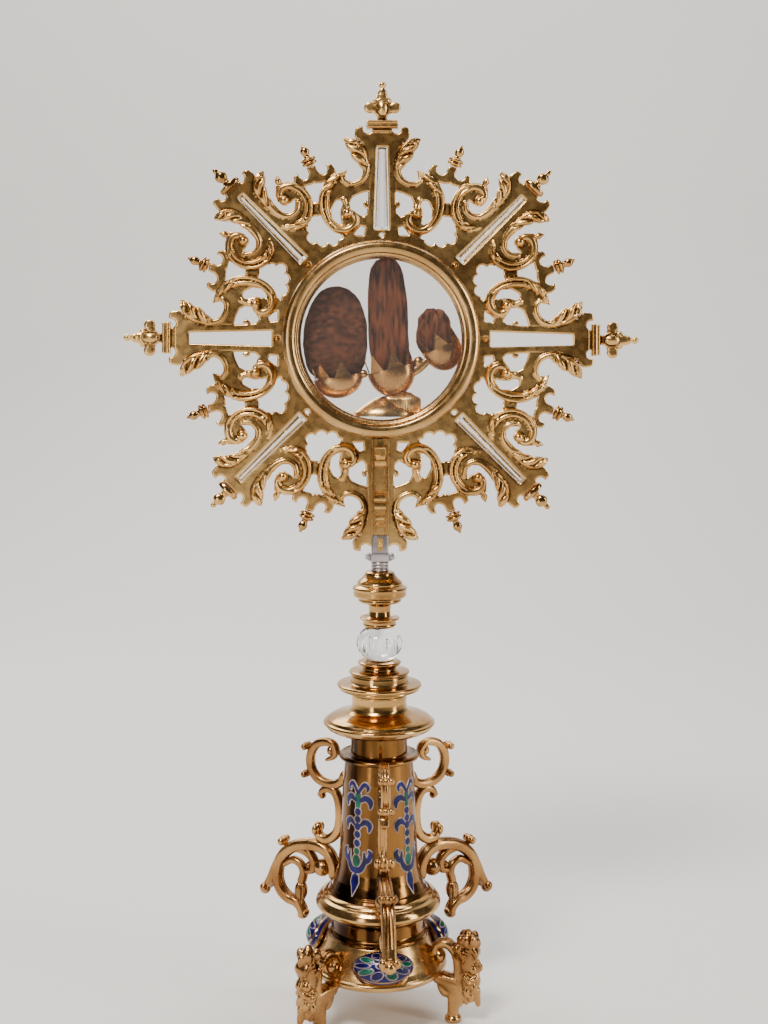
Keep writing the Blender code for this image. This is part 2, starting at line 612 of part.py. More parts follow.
def main():
    clear_scene()
    gold = shade("gilt_bronze", (0.62, 0.42, 0.19), 1.0, 0.32)
    steel = shade("grey_steel", (0.4, 0.37, 0.38), 1.0, 0.4)
    glass = shade("clear_glass", (0.9, 0.93, 0.94), 0.0, 0.05, 0.9)
    blue = shade("blue_enamel", (0.04, 0.04, 0.4), 0.0, 0.2)
    build_plate(gold)
    build_case(gold, glass)
    build_crystal("crystal_top", 90, 111, 190.4, 6.2, 4.1, glass)
    for index, turn in enumerate(DIAGONALS):
        build_crystal(f"crystal_{index + 1}", turn, 112, 198.6, 3.5, 2.0, glass)
    build_finials(gold)
    build_support(gold, steel)
    build_stem(gold, glass)
    build_base(gold)
    for index in range(3):
        build_boss(index, blue)
    build_supports(gold)
    centre_on_origin()


main()
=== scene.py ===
"""Looks of a reliquary monstrance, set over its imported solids.

Sizes are in steps of the working drawing, 0.54 mm each, measured from the stem's axis and the ground.
"""
import math

import bmesh
import bpy
import numpy as np
from mathutils import Matrix, Vector, noise


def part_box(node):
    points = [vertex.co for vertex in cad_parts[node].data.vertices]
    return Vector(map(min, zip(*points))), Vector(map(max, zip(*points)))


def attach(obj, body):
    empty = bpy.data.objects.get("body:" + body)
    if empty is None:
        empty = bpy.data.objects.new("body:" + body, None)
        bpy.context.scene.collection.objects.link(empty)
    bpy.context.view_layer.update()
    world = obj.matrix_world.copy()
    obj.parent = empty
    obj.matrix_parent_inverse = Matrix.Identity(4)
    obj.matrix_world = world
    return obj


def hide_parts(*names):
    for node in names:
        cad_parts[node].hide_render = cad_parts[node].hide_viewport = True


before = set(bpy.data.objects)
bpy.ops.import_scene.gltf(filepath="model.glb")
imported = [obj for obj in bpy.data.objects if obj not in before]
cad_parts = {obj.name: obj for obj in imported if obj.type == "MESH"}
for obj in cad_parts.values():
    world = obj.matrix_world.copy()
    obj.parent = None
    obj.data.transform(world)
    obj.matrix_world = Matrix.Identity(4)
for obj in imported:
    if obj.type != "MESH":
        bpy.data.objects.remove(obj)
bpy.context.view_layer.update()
STEP = 0.00054
HALF = math.sqrt(0.5)
AXIS_Y = (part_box("column")[0][1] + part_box("column")[1][1]) / 2
SUN_HEIGHT = 670.5
PLATE_HALF = 2.3
ARM_END = 207.0
BRACKET_TURNS = (5.0, 1.0, 3.0)
BRACKET_STRETCH = 1.03
FOOT_TURN = 14.0
FOOT_STRETCH = 1 / 1.07
BOSS_RISE = 18.5
SKIRT_TOP = (50.0, 79.8)
SKIRT_FOOT = (67.0, 52.0)
ENAMEL_TURNS = (-123.0, -42.0, 92.0)
SIDES = 96
FAR = 1425
EYE_HEIGHT = 659
HORIZON = 350.5
PHOTO_HEIGHT = 1024


# Meshes
def add_piece(name, verts, faces, mat, crease=38.0, place=None, **marks):
    """Mesh piece from points in steps; marks are values at its points that the materials read."""
    points = np.asarray(verts, float)
    if place is not None:
        turn = np.array(place)
        points = points @ turn[:3, :3].T + turn[:3, 3]
    points = points * STEP + np.array([0.0, AXIS_Y, 0.0])
    mesh = bpy.data.meshes.new(name)
    mesh.from_pydata(points.tolist(), [], [list(f) for f in faces])
    for mark, values in marks.items():
        layer = mesh.attributes.new(mark, "FLOAT", "POINT")
        layer.data.foreach_set("value", np.asarray(values, np.float32))
    mesh.shade_smooth()
    mesh.set_sharp_from_angle(angle=math.radians(crease))
    mesh.materials.append(mat)
    item = bpy.data.objects.new(name, mesh)
    bpy.context.scene.collection.objects.link(item)
    return item


def settle(item, slot, *nodes):
    """Fixes a piece to the object and hides the solids it stands for; the slot is not used."""
    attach(item, "root")
    if nodes:
        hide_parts(*nodes)


def fillet(profile, closed=False, radius=0.7, steps=3):
    """Rounds the corners of a turned profile."""
    out = []
    count = len(profile)
    for i, point in enumerate(profile):
        if not closed and i in (0, count - 1):
            out.append(point)
            continue
        here = np.array(point, float)
        before = np.array(profile[i - 1], float) - here
        after = np.array(profile[(i + 1) % count], float) - here
        reach = min(radius, np.hypot(*before) * 0.45, np.hypot(*after) * 0.45)
        start = here + before / np.hypot(*before) * reach
        end = here + after / np.hypot(*after) * reach
        for k in range(steps + 1):
            t = k / steps
            out.append(tuple((1 - t) ** 2 * start + 2 * t * (1 - t) * here + t * t * end))
    return out


def turned(name, profile, mat, place=None, squash=1.0, closed=False, sides=SIDES, crease=38.0):
    """Turns (radius, height) pairs about +Z."""
    profile = fillet(profile, closed)
    angles = 2 * np.pi * np.arange(sides) / sides
    verts = []
    for r, h in profile:
        r = max(r, 0.01)
        verts += [(r * math.cos(a), r * squash * math.sin(a), h) for a in angles]
    rows = len(profile)
    faces = []
    for i in range(rows if closed else rows - 1):
        low, high = i * sides, (i + 1) % rows * sides
        faces += [(low + k, low + (k + 1) % sides, high + (k + 1) % sides, high + k) for k in range(sides)]
    if not closed:
        faces += [tuple(range(sides)), tuple(range((rows - 1) * sides, rows * sides))]
    item = add_piece(name, verts, faces, mat, crease, place)
    body = bmesh.new()
    body.from_mesh(item.data)
    bmesh.ops.recalc_face_normals(body, faces=body.faces)
    body.to_mesh(item.data)
    body.free()
    return item


def curve(stops, count=5):
    """Smooth path through its stops."""
    points = np.array(stops, float)
    padded = np.vstack([2 * points[0] - points[1], points, 2 * points[-1] - points[-2]])
    out = []
    for a, b, c, d in zip(padded[:-3], padded[1:-2], padded[2:-1], padded[3:]):
        for t in np.arange(count) / count:
            out.append(0.5 * (2 * b + (c - a) * t + (2 * a - 5 * b + 4 * c - d) * t * t
                              + (3 * b - a - 3 * c + d) * t ** 3))
    out.append(points[-1])
    return np.array(out)


# Signed distances in the plane of a casting, above zero inside the metal
def disc(p, centre, radius):
    return radius - np.hypot(p[0] - centre[0], p[1] - centre[1])


def ribbon(p, stops):
    """Distance inside a tapering stroke, the length along it, the offset to its left and its half width."""
    best = np.full(np.shape(p[0]), -1e9)
    along, offset, half = np.zeros_like(best), np.zeros_like(best), np.ones_like(best)
    run = 0.0
    for (ax, ay, ar), (bx, by, br) in zip(stops[:-1], stops[1:]):
        dx, dy = bx - ax, by - ay
        length = math.hypot(dx, dy)
        t = np.clip(((p[0] - ax) * dx + (p[1] - ay) * dy) / (length * length), 0, 1)
        ox, oy = p[0] - ax - t * dx, p[1] - ay - t * dy
        far = np.hypot(ox, oy)
        r = ar + (br - ar) * t
        nearer = r - far > best
        best = np.where(nearer, r - far, best)
        along = np.where(nearer, run + t * length, along)
        offset = np.where(nearer, np.sign(dx * oy - dy * ox) * far, offset)
        half = np.where(nearer, r, half)
        run += length
    return best, along, offset, half


def stroke(p, stops):
    return ribbon(p, stops)[0]


def patch(p, corners):
    x, y = p
    far = np.full(np.shape(x), 1e9)
    inside = np.zeros(np.shape(x), bool)
    for (ax, ay), (bx, by) in zip(corners, corners[1:] + corners[:1]):
        dx, dy = bx - ax, by - ay
        t = np.clip(((x - ax) * dx + (y - ay) * dy) / (dx * dx + dy * dy), 0, 1)
        far = np.minimum(far, np.hypot(x - ax - t * dx, y - ay - t * dy))
        if ay != by:
            inside ^= ((ay > y) != (by > y)) & (x < (bx - ax) * (y - ay) / (by - ay) + ax)
    return np.where(inside, far, -far)


def strip(along, across, start, end, half_start, half_end):
    half = half_start + (half_end - half_start) * np.clip((along - start) / (end - start), 0, 1)
    return np.minimum(np.minimum(along - start, end - along), half - np.abs(across))


def union(*fields):
    out = fields[0]
    for field in fields[1:]:
        out = np.maximum(out, field)
    return out


def cut(field, *holes):
    for hole in holes:
        field = np.minimum(field, -hole)
    return field


def dome(q):
    return np.sqrt(np.clip(1 - q * q, 0, 1))


# Plan of one eighth of the sunburst: u outwards along an upright or level arm, v towards the diagonal arm
LEAF_BY_ARM = curve([(199, 37, 2), (194.5, 30.5, 6.2), (186.5, 24.5, 8), (178.5, 20.5, 6.4), (170, 15.8, 3.6),
                     (161, 18.5, 2.9), (155.8, 25.5, 2.7), (154.8, 33, 2.6), (158.5, 39, 2)])
SCROLL_BY_ARM = curve([(167.5, 35.5, 0.8), (162.5, 44.5, 3), (153, 53, 4.6), (142, 57.5, 5.4),
                       (130, 57.5, 5.2), (119, 53.8, 4.6), (110.7, 46.5, 4.2), (108.2, 37.5, 4),
                       (111.5, 29.5, 3.7), (118.5, 26, 3.5), (125, 29, 3.3), (125.5, 35, 3)])
SCROLL_BY_DIAGONAL = curve([(111.5, 98, 1.5), (110.8, 90, 3), (114, 81.5, 4.8), (121, 75.4, 5.4),
                            (131, 73, 5), (141, 75.3, 4.6), (149, 82, 4.2), (152.2, 91.5, 4),
                            (149.5, 100, 3.8), (143, 102.6, 3.6), (137, 98, 3.4)])
LEAF_BY_DIAGONAL = curve([(165.5, 119.5, 2.2), (160, 122, 5.4), (150, 122, 6.6), (140, 117, 5.2),
                          (130.5, 109.5, 4.2), (123.6, 100.5, 3.2), (122.6, 92.5, 2.8), (127.5, 85.5, 2.6),
                          (136, 83.6, 2.4)])
# Path, lobed side, length that is lobed, length of a lobe, end of the double rib
SCROLLS = ((LEAF_BY_ARM, -1, 38, 12.2, 0), (SCROLL_BY_ARM, 1, 34, 11.4, 74),
           (SCROLL_BY_DIAGONAL, 1, 24, 10.4, 66), (LEAF_BY_DIAGONAL, 1, 40, 12.2, 0))
BEADS = ((125.3, 34.0, 5.2), (137.8, 97.4, 5.4))


def hooked_ear(along, across, centre):
    """Rounded cusp with a hook and a round bite, on both edges of an arm."""
    q = (along - centre[0], np.abs(across) - centre[1])
    body = union(stroke(q, [(0, 0, 5), (4, 0.4, 4), (5.8, -2.2, 2.4)]),
                 patch(q, [(-12, -14), (-7, 0.5), (0, 4), (5, -8), (2, -14)]))
    return cut(body, disc(q, (6.2, -8.2), 5.0))


def finial_bracket(u, v):
    """Flat bracket with two hooked curls that carries a small finial."""
    a = math.radians(22.5)
    s = u * math.cos(a) + v * math.sin(a) + 1
    t = v * math.cos(a) - u * math.sin(a)
    s = s + 2.2 * np.clip(-t / 10, 0, 1)
    t_abs = np.abs(t)
    body = patch((s, t), [(169, -21), (165, -9), (170, 4), (172, 21), (178, 21), (181, 4.8), (187.5, 4.2),
                          (187.5, -4.2), (181, -4.8), (178, -21)])
    body = union(body, stroke((s, t_abs), [(177.8, 17.4, 4.2), (181.5, 17.6, 3), (183, 15.8, 2.2)]))
    return cut(body, disc((s, t_abs), (182.3, 9.6), 5.1))


def openings(p):
    """Pierced windows of one eighth."""
    crescent = stroke(p, [(116.8, 42, 2.6), (121.5, 45.5, 4.2), (128.5, 45.8, 4.6), (134.5, 43.3, 4)])
    corner = patch(p, [(103.6, 17.6), (111.5, 16.8), (112.8, 21), (108.8, 24.6), (103.8, 27.6)])
    cusped = patch(p, [(122, 18.5), (125.5, 15), (147.5, 14), (145.5, 21), (141.8, 29), (136, 31.8),
                       (130, 31.2), (126, 26)])
    cusped = cut(cusped, disc(p, (134.5, 15), 3.6))
    heart = patch(p, [(100.5, 38.5), (97, 50), (96, 58), (98, 66), (103, 70), (109, 71.5), (113, 69.8),
                      (120, 69.6), (123.2, 61), (116, 56.5), (108.5, 49.5), (104.2, 41)])
    lobes = [disc(p, (x, y), r) for x, y, r in ((99, 48.5, 5.4), (97.8, 59.2, 5.4), (100.8, 69, 5.4),
                                                (109.5, 70.5, 4))]
    kite = patch(p, [(134.5, 68.6), (142, 71), (149.2, 76.2), (151.8, 69.3), (156, 68.6), (155.2, 62),
                     (157.2, 56.5), (147, 62.8)])
    kite = cut(kite, disc(p, (156.4, 66), 1.6))
    return union(crescent, corner, cusped, heart, kite, *lobes)


def scroll_relief(p, stops, side, lobed, wave, ribbed):
    """Outline and raised height of a scroll: leaf lobes on one side, then two ribs, then a plain round."""
    best, along, offset, half = ribbon(p, stops)
    q = offset / half * side
    leaf = np.clip((lobed - along) / 6, 0, 1)
    phase = ((along + 8 * q + 3) / wave) % 1
    bump = dome(2 * phase - 1)
    edge = best - leaf * np.clip(q, 0, 1) * 0.42 * half * (1 - bump)
    plain = 0.82 * dome(q)
    spine = 0.72 * dome((q + 0.66) / 0.36)
    blade = 1.0 * dome((q - 0.22) / 0.92) ** 0.8 * (0.25 + 0.75 * bump)
    pair = np.maximum(0.86 * dome((q + 0.52) / 0.48), 0.66 * dome((q - 0.45) / 0.52))
    double = np.clip((ribbed - along) / 6, 0, 1) * (1 - leaf)
    rise = half * (leaf * np.maximum(spine, blade) + double * pair + (1 - leaf - double) * plain)
    return edge, np.where(edge > 0, rise * np.clip(edge / 0.5, 0, 1) ** 0.5, 0)


def sunburst(x, z):
    """Distance inside the pierced plate and its raised height."""
    ax, az = np.abs(x), np.abs(z)
    u, v = np.maximum(ax, az), np.minimum(ax, az)
    p = (u, v)
    radius = np.hypot(u, v)
    s, t = (u + v) * HALF, (u - v) * HALF
    body = union(130 - radius, strip(u, v, 85, ARM_END, 15.6, 11.5), strip(s, t, 85, 160, 17.5, 16.5),
                 strip(s, t, 159, 212, 16.5, 10), disc(p, (129, 37.8), 24.5), disc(p, (132.5, 92), 24))
    webs = union(patch(p, [(146, 13), (168, 12), (157, 27), (157, 40), (150, 56), (136, 50), (138, 32)]),
                 patch(p, [(122, 58), (136, 60), (136, 70), (122, 72)]),
                 patch(p, [(166, 12), (196, 6), (200, 22), (192, 19), (180, 14)]),
                 patch(p, [(124, 100), (131, 112), (150, 127), (158, 128), (150, 140), (130, 130)]),
                 patch(p, [(95, 75), (105, 92), (120, 84), (112, 72)]))
    body = union(body, webs)
    bite = np.minimum(disc(p, (166.5, 31), 12.2), np.maximum(36 - v, u - 168))
    hook = patch(p, [(143, 106), (153, 106), (147, 114.5), (139, 113.5), (130, 105.5), (125.8, 98),
                     (125.6, 91), (130, 87), (139, 86.6), (135.5, 92), (134, 98), (137, 104)])
    body = cut(body, bite, hook)
    tail = patch(p, [(146, 56), (153, 56), (160, 49), (164, 43.5), (167.6, 35.4), (157.5, 37), (152, 40),
                     (143, 45)])
    body = union(body, tail, finial_bracket(u, v), hooked_ear(u, v, (204, 22.6)),
                 hooked_ear(s, t, (207.6, 20.6)))
    body = cut(body, openings(p))
    rise = np.zeros_like(body)
    for stops, side, lobed, wave, ribbed in SCROLLS:
        edge, lift = scroll_relief(p, stops, side, lobed, wave, ribbed)
        body = np.maximum(body, edge)
        rise = np.maximum(rise, lift)
    for cx, cy, r in BEADS:
        bead = disc(p, (cx, cy), r)
        body = np.maximum(body, bead)
        rise = np.maximum(rise, 1.15 * r * dome(np.clip(1 - bead / r, 0, 1)))
    volutes = union(disc(p, (119.5, 32), 8.9), disc(p, (143.3, 95.5), 9))
    buds = union(stroke(p, [(128.5, 33.5, 2.2), (131.4, 34.6, 3.4)]), stroke(p, [(131, 34.5, 1.8), (139,
                                                                                                    38,
                                                                                                    2.4)]),
                 stroke(p, [(151, 101.5, 2.4), (153.5, 102.5, 2), (157, 103.8, 3.4), (161.5, 105, 1.2)]))
    rise = np.maximum(rise, np.where(buds > 0, 1.2 * np.sqrt(np.clip(buds, 0, 3)), 0))
    body = union(body, volutes, buds)
    slots = union(strip(u, v, 109.5, 192, 7.6, 5.4), strip(s, t, 110.5, 200.5, 5, 3.4))
    holes = union(disc(p, (104, 0), 2.3), disc((s, t), (104, 0), 2.3))
    body = cut(body, slots, holes, 90.6 - radius)
    bevel = 0.8 * (1 - np.clip(body / 1.3, 0, 1)) ** 2
    return body, rise, PLATE_HALF - bevel + rise


def relief_parts(field, box, pitch, back=0.4):
    """Points, faces and painted shade of the hollows of a casting whose field gives its inside, raised part
    and front height.
    """
    xs = np.arange(box[0], box[1] + pitch / 2, pitch)
    ys = np.arange(box[2], box[3] + pitch / 2, pitch)
    gx, gy = np.meshgrid(xs, ys, indexing="ij")
    body, rise, front = field(gx, gy)
    body = np.where(np.abs(body) < 1e-6, 1e-6, body)
    inside = body > 0
    solid = np.where(inside, front, 0.0)
    # Painted shade mark: how far each point lies below the mean height round it.
    near = solid.copy()
    reach = max(1, round(2.0 / pitch))
    for axis in (0, 1):
        near = sum(np.roll(near, k, axis) for k in range(-reach, reach + 1)) / (2 * reach + 1)
    hollow = np.clip((near - solid) * 0.7, 0, 1)
    index = np.full(body.shape, -1)
    index[inside] = np.arange(inside.sum())
    spots = [np.column_stack([gx[inside], gy[inside]])]
    hollows = [hollow[inside]]
    count = int(inside.sum())
    cross = []
    for di, dj in ((1, 0), (0, 1)):
        a = inside[:-1, :] if di else inside[:, :-1]
        b = inside[1:, :] if di else inside[:, 1:]
        i, j = np.nonzero(a != b)
        one, two = body[i, j], body[i + di, j + dj]
        share = np.clip(one / (one - two), 0.08, 0.92)
        spots.append(np.column_stack([xs[i] + di * share * pitch, ys[j] + dj * share * pitch]))
        # Cut edges get a little painted shade too.
        hollows.append(np.full(len(i), 0.15))
        table = np.full(body.shape, -1)
        table[i, j] = count + np.arange(len(i))
        count += len(i)
        cross.append(table)
    spots = np.vstack(spots)
    hollows = np.concatenate(hollows)
    height = field(spots[:, 0], spots[:, 1])
    rise, top = np.maximum(height[1], 0), height[2]
    total = inside[:-1, :-1].astype(int) + inside[1:, :-1] + inside[1:, 1:] + inside[:-1, 1:]
    i, j = np.nonzero(total == 4)
    faces = np.column_stack([index[i, j], index[i + 1, j], index[i + 1, j + 1], index[i, j + 1]]).tolist()
    walls = []
    for i, j in zip(*np.nonzero((total > 0) & (total < 4))):
        corners = ((i, j), (i + 1, j), (i + 1, j + 1), (i, j + 1))
        between = (cross[0][i, j], cross[1][i + 1, j], cross[0][i, j + 1], cross[1][i, j])
        loop = []
        for corner, mid in zip(corners, between):
            if inside[corner]:
                loop.append((int(index[corner]), False))
            if mid >= 0:
                loop.append((int(mid), True))
        faces.append([k for k, _ in loop])
        for (one, edge), (two, other) in zip(loop, loop[1:] + loop[:1]):
            if edge and other:
                walls.append((one, two))
    points = len(spots)
    back_height = -(top - rise) - back * rise
    verts = np.vstack([np.column_stack([spots, top]), np.column_stack([spots, back_height])])
    flipped = [[k + points for k in reversed(f)] for f in faces]
    sides = [[b, a, a + points, b + points] for a, b in walls]
    return verts, faces + flipped + sides, np.concatenate([hollows, hollows])


def sun_place(turn=0.0):
    """Takes x across, y up and z forwards to the plane of the sunburst, turned about its centre."""
    stand = Matrix(((1, 0, 0), (0, 0, -1), (0, 1, 0))).to_4x4()
    return Matrix.Translation((0, 0, SUN_HEIGHT)) @ stand @ Matrix.Rotation(math.radians(turn), 4, "Z")


def arm_place(turn):
    """Takes +Z to the outward direction of an arm, turn degrees round from the right-hand arm."""
    a = math.radians(turn)
    out = Vector((math.cos(a), 0, math.sin(a)))
    front = Vector((0, -1, 0))
    spin = Matrix((front.cross(out), front, out)).transposed().to_4x4()
    return Matrix.Translation((0, 0, SUN_HEIGHT)) @ spin


def radial_place(index, turn):
    """Takes x outwards and y up to the upright plane of one of three brackets or feet."""
    a = math.radians(-90 + turn + 120 * index)
    out, up = Vector((math.cos(a), math.sin(a), 0)), Vector((0, 0, 1))
    return Matrix((out, up, out.cross(up))).transposed().to_4x4()


# Materials
def put(node, name, value):
    node.inputs[name].default_value = value


def shader(name):
    mat = bpy.data.materials.new(name)
    mat.use_nodes = True
    tree = mat.node_tree
    return mat, tree, tree.nodes["Principled BSDF"]


def link_noise(tree, scale, detail=3.0, stretch=None):
    place = tree.nodes.new("ShaderNodeTexCoord")
    grain = tree.nodes.new("ShaderNodeTexNoise")
    put(grain, "Scale", scale)
    put(grain, "Detail", detail)
    spot = place.outputs["Object"]
    if stretch is not None:
        turn = tree.nodes.new("ShaderNodeMapping")
        put(turn, "Scale", stretch)
        tree.links.new(spot, turn.inputs["Vector"])
        spot = turn.outputs["Vector"]
    tree.links.new(spot, grain.inputs["Vector"])
    return grain.outputs["Fac"]


def ramp(tree, value, low, high, start=0.3, end=0.7):
    node = tree.nodes.new("ShaderNodeValToRGB")
    first, last = node.color_ramp.elements
    first.position, last.position = start, end
    first.color, last.color = (*low, 1), (*high, 1)
    tree.links.new(value, node.inputs["Fac"])
    return node.outputs["Color"]


def spread(tree, value, low, high):
    node = tree.nodes.new("ShaderNodeMapRange")
    put(node, "To Min", low)
    put(node, "To Max", high)
    put(node, "From Min", 0.3)
    put(node, "From Max", 0.7)
    tree.links.new(value, node.inputs["Value"])
    return node.outputs["Result"]


def mix(tree, factor, one, two):
    node = tree.nodes.new("ShaderNodeMix")
    node.data_type = "RGBA"
    tree.links.new(factor, node.inputs["Factor"])
    tree.links.new(one, node.inputs["A"])
    if isinstance(two, tuple):
        put(node, "B", (*two, 1))
    else:
        tree.links.new(two, node.inputs["B"])
    return node.outputs["Result"]


def gilt(name, light, deep, rough_low, rough_high, bump=0.02, scale=220.0, wear_and_reflection_streaks=(34.0, 34.0, 34.0)):
    """Gilt bronze: worn lights, dark brown painted shade in the recesses, fine scratches; a long stretch of
    the worn tone paints reflection streaks.
    """
    mat, tree, node = shader(name)
    # Random tone of worn gilding; stretched long, as on the shaft, its upright streaks are painted
    # reflections.
    colour = ramp(tree, link_noise(tree, 1.0, 4.0, wear_and_reflection_streaks), deep, light, 0.36, 0.6)
    mark = tree.nodes.new("ShaderNodeAttribute")
    mark.attribute_name = "hollow"
    # Painted shade: dark brown mixed into recesses and cut edges, as far as the mark read here says.
    colour = mix(tree, mark.outputs["Fac"], colour, (0.055, 0.022, 0.008))
    tree.links.new(colour, node.inputs["Base Color"])
    put(node, "Metallic", 1.0)
    fine = link_noise(tree, scale, 5.0)
    tree.links.new(spread(tree, fine, rough_low, rough_high), node.inputs["Roughness"])
    lift = tree.nodes.new("ShaderNodeBump")
    put(lift, "Strength", bump * 10)
    put(lift, "Distance", 0.0002)
    tree.links.new(fine, lift.inputs["Height"])
    tree.links.new(lift.outputs["Normal"], node.inputs["Normal"])
    return mat


GOLD = gilt("gilt_cast", (0.80, 0.49, 0.18), (0.52, 0.28, 0.09), 0.2, 0.34)
# Painted shade: the same gilding as the others, made darker for the brackets, feet and crown cups.
SHADED_GILT = gilt("gilt_worn_and_shaded", (0.56, 0.31, 0.115), (0.28, 0.13, 0.045), 0.18, 0.34, 0.02, 200.0)
BRIGHT = gilt("gilt_turned", (0.62, 0.37, 0.135), (0.36, 0.185, 0.06), 0.1, 0.24, 0.008, 300.0)
RIM = gilt("gilt_rim", (0.66, 0.41, 0.17), (0.46, 0.26, 0.095), 0.18, 0.32, 0.015, 180.0)
# Painted shade and reflection: the column, stem drum and foot neck get the same gilding made nearly black,
# streaked upright with lighter tone for reflections.
SHAFT = gilt("gilt_shaft", (0.28, 0.13, 0.036), (0.022, 0.008, 0.003), 0.08, 0.24, 0.008, 300.0,
             (75.0, 75.0, 3.0))
STEEL = gilt("grey_steel", (0.50, 0.46, 0.48), (0.36, 0.31, 0.33), 0.3, 0.48, 0.03, 150.0)


def clear(name, tint, alpha, transmission, rough=0.02):
    mat, _, node = shader(name)
    put(node, "Base Color", (*tint, 1))
    put(node, "Roughness", rough)
    put(node, "IOR", 1.5)
    put(node, "Transmission Weight", transmission)
    put(node, "Alpha", alpha)
    return mat


def enamelled(name):
    """Fired enamel between metal lines, where the marks blue, green and white say so."""
    mat, tree, node = shader(name)
    colour = ramp(tree, link_noise(tree, 90.0), (0.36, 0.19, 0.06), (0.62, 0.38, 0.14))
    bare = None
    for mark, low, high in (("white", (0.24, 0.22, 0.26), (0.52, 0.48, 0.48)),
                            ("green", (0.0, 0.03, 0.02), (0.0, 0.15, 0.09)),
                            ("blue", (0.002, 0.002, 0.025), (0.007, 0.006, 0.13))):
        cover = tree.nodes.new("ShaderNodeAttribute")
        cover.attribute_name = mark
        colour = mix(tree, cover.outputs["Fac"], colour, ramp(tree, link_noise(tree, 170.0), low, high))
        left = tree.nodes.new("ShaderNodeMath")
        left.operation = "SUBTRACT"
        left.use_clamp = True
        left.inputs[0].default_value = 1.0
        if bare is not None:
            tree.links.new(bare, left.inputs[0])
        tree.links.new(cover.outputs["Fac"], left.inputs[1])
        bare = left.outputs["Value"]
    tree.links.new(colour, node.inputs["Base Color"])
    tree.links.new(bare, node.inputs["Metallic"])
    tree.links.new(spread(tree, link_noise(tree, 240.0), 0.08, 0.22), node.inputs["Roughness"])
    put(node, "Specular IOR Level", 0.3)
    return mat


def withered(name, low, high, stretch):
    """Dry brown matter with long fibres."""
    mat, tree, node = shader(name)
    grain = link_noise(tree, 1.0, 6.0, stretch)
    tree.links.new(ramp(tree, grain, low, high, 0.36, 0.64), node.inputs["Base Color"])
    tree.links.new(spread(tree, grain, 0.75, 0.5), node.inputs["Roughness"])
    put(node, "Specular IOR Level", 0.2)
    lift = tree.nodes.new("ShaderNodeBump")
    put(lift, "Strength", 0.8)
    put(lift, "Distance", 0.0008)
    tree.links.new(grain, lift.inputs["Height"])
    tree.links.new(lift.outputs["Normal"], node.inputs["Normal"])
    return mat


ENAMEL = enamelled("cloison_enamel")
RELIC = withered("relic_skin", (0.035, 0.009, 0.003), (0.12, 0.032, 0.009), (260, 260, 420))
FIBRE = withered("relic_fibre", (0.024, 0.006, 0.002), (0.19, 0.050, 0.013), (480, 480, 80))
PANE = clear("clear_pane", (0.45, 0.46, 0.46), 0.035, 0.0)
CRYSTAL = clear("cut_crystal", (0.97, 0.98, 1.0), 1.0, 1.0, 0.03)


# Sunburst
def build_sunburst():
    verts, faces, hollow = relief_parts(sunburst, (0, 214, 0, 214), 1.0)
    for name, sx, sz in (("ur", 1, 1), ("ul", -1, 1), ("ll", -1, -1), ("lr", 1, -1)):
        points = verts * np.array([sx, sz, 1])
        loops = faces if sx * sz > 0 else [f[::-1] for f in faces]
        item = add_piece(f"sunburst_{name}", points, loops, GOLD, 48, sun_place(), hollow=hollow)
        settle(item, "gilt_bronze", "sunburst_plate")
    for name, turn in (("right", 0), ("upper_right", 45), ("upper_left", 135), ("left", 180)):
        pin = turned(f"pin_{name}", [(0, 4.4), (1.3, 4.1), (2.4, 2.9), (2.7, 1.4), (2.7, -2.6)], BRIGHT,
                     sides=20, place=sun_place() @ Matrix.Rotation(math.radians(turn), 4, "Z")
                     @ Matrix.Translation((104, 0, 0)))
        settle(pin, "gilt_bronze")


def build_crystal(name, turn, start, end, wide_start, wide_end):
    """Long bar of rock crystal with a table and bevelled edges."""
    verts = []
    for along, wide, lift in ((start, wide_start, 0.4), (start + 2.2, wide_start, 1),
                              (end - 2.2, wide_end, 1), (end, wide_end, 0.4)):
        top = 1.2 + 2.4 * lift
        section = ((wide, 0.7), (wide * 0.3, top), (-wide * 0.3, top), (-wide, 0.7), (-wide, -0.7), (0, -3.4),
                   (wide, -0.7))
        verts += [(x, y, along) for x, y in section]
    count = 7
    faces = [tuple(range(count)), tuple(reversed(range(3 * count, 4 * count)))]
    for row in range(3):
        for i in range(count):
            j = (i + 1) % count
            faces.append((row * count + j, row * count + i, (row + 1) * count + i, (row + 1) * count + j))
    item = add_piece(f"{name}_cut", verts, faces, CRYSTAL, 10, arm_place(turn))
    settle(item, "rock_crystal", name)


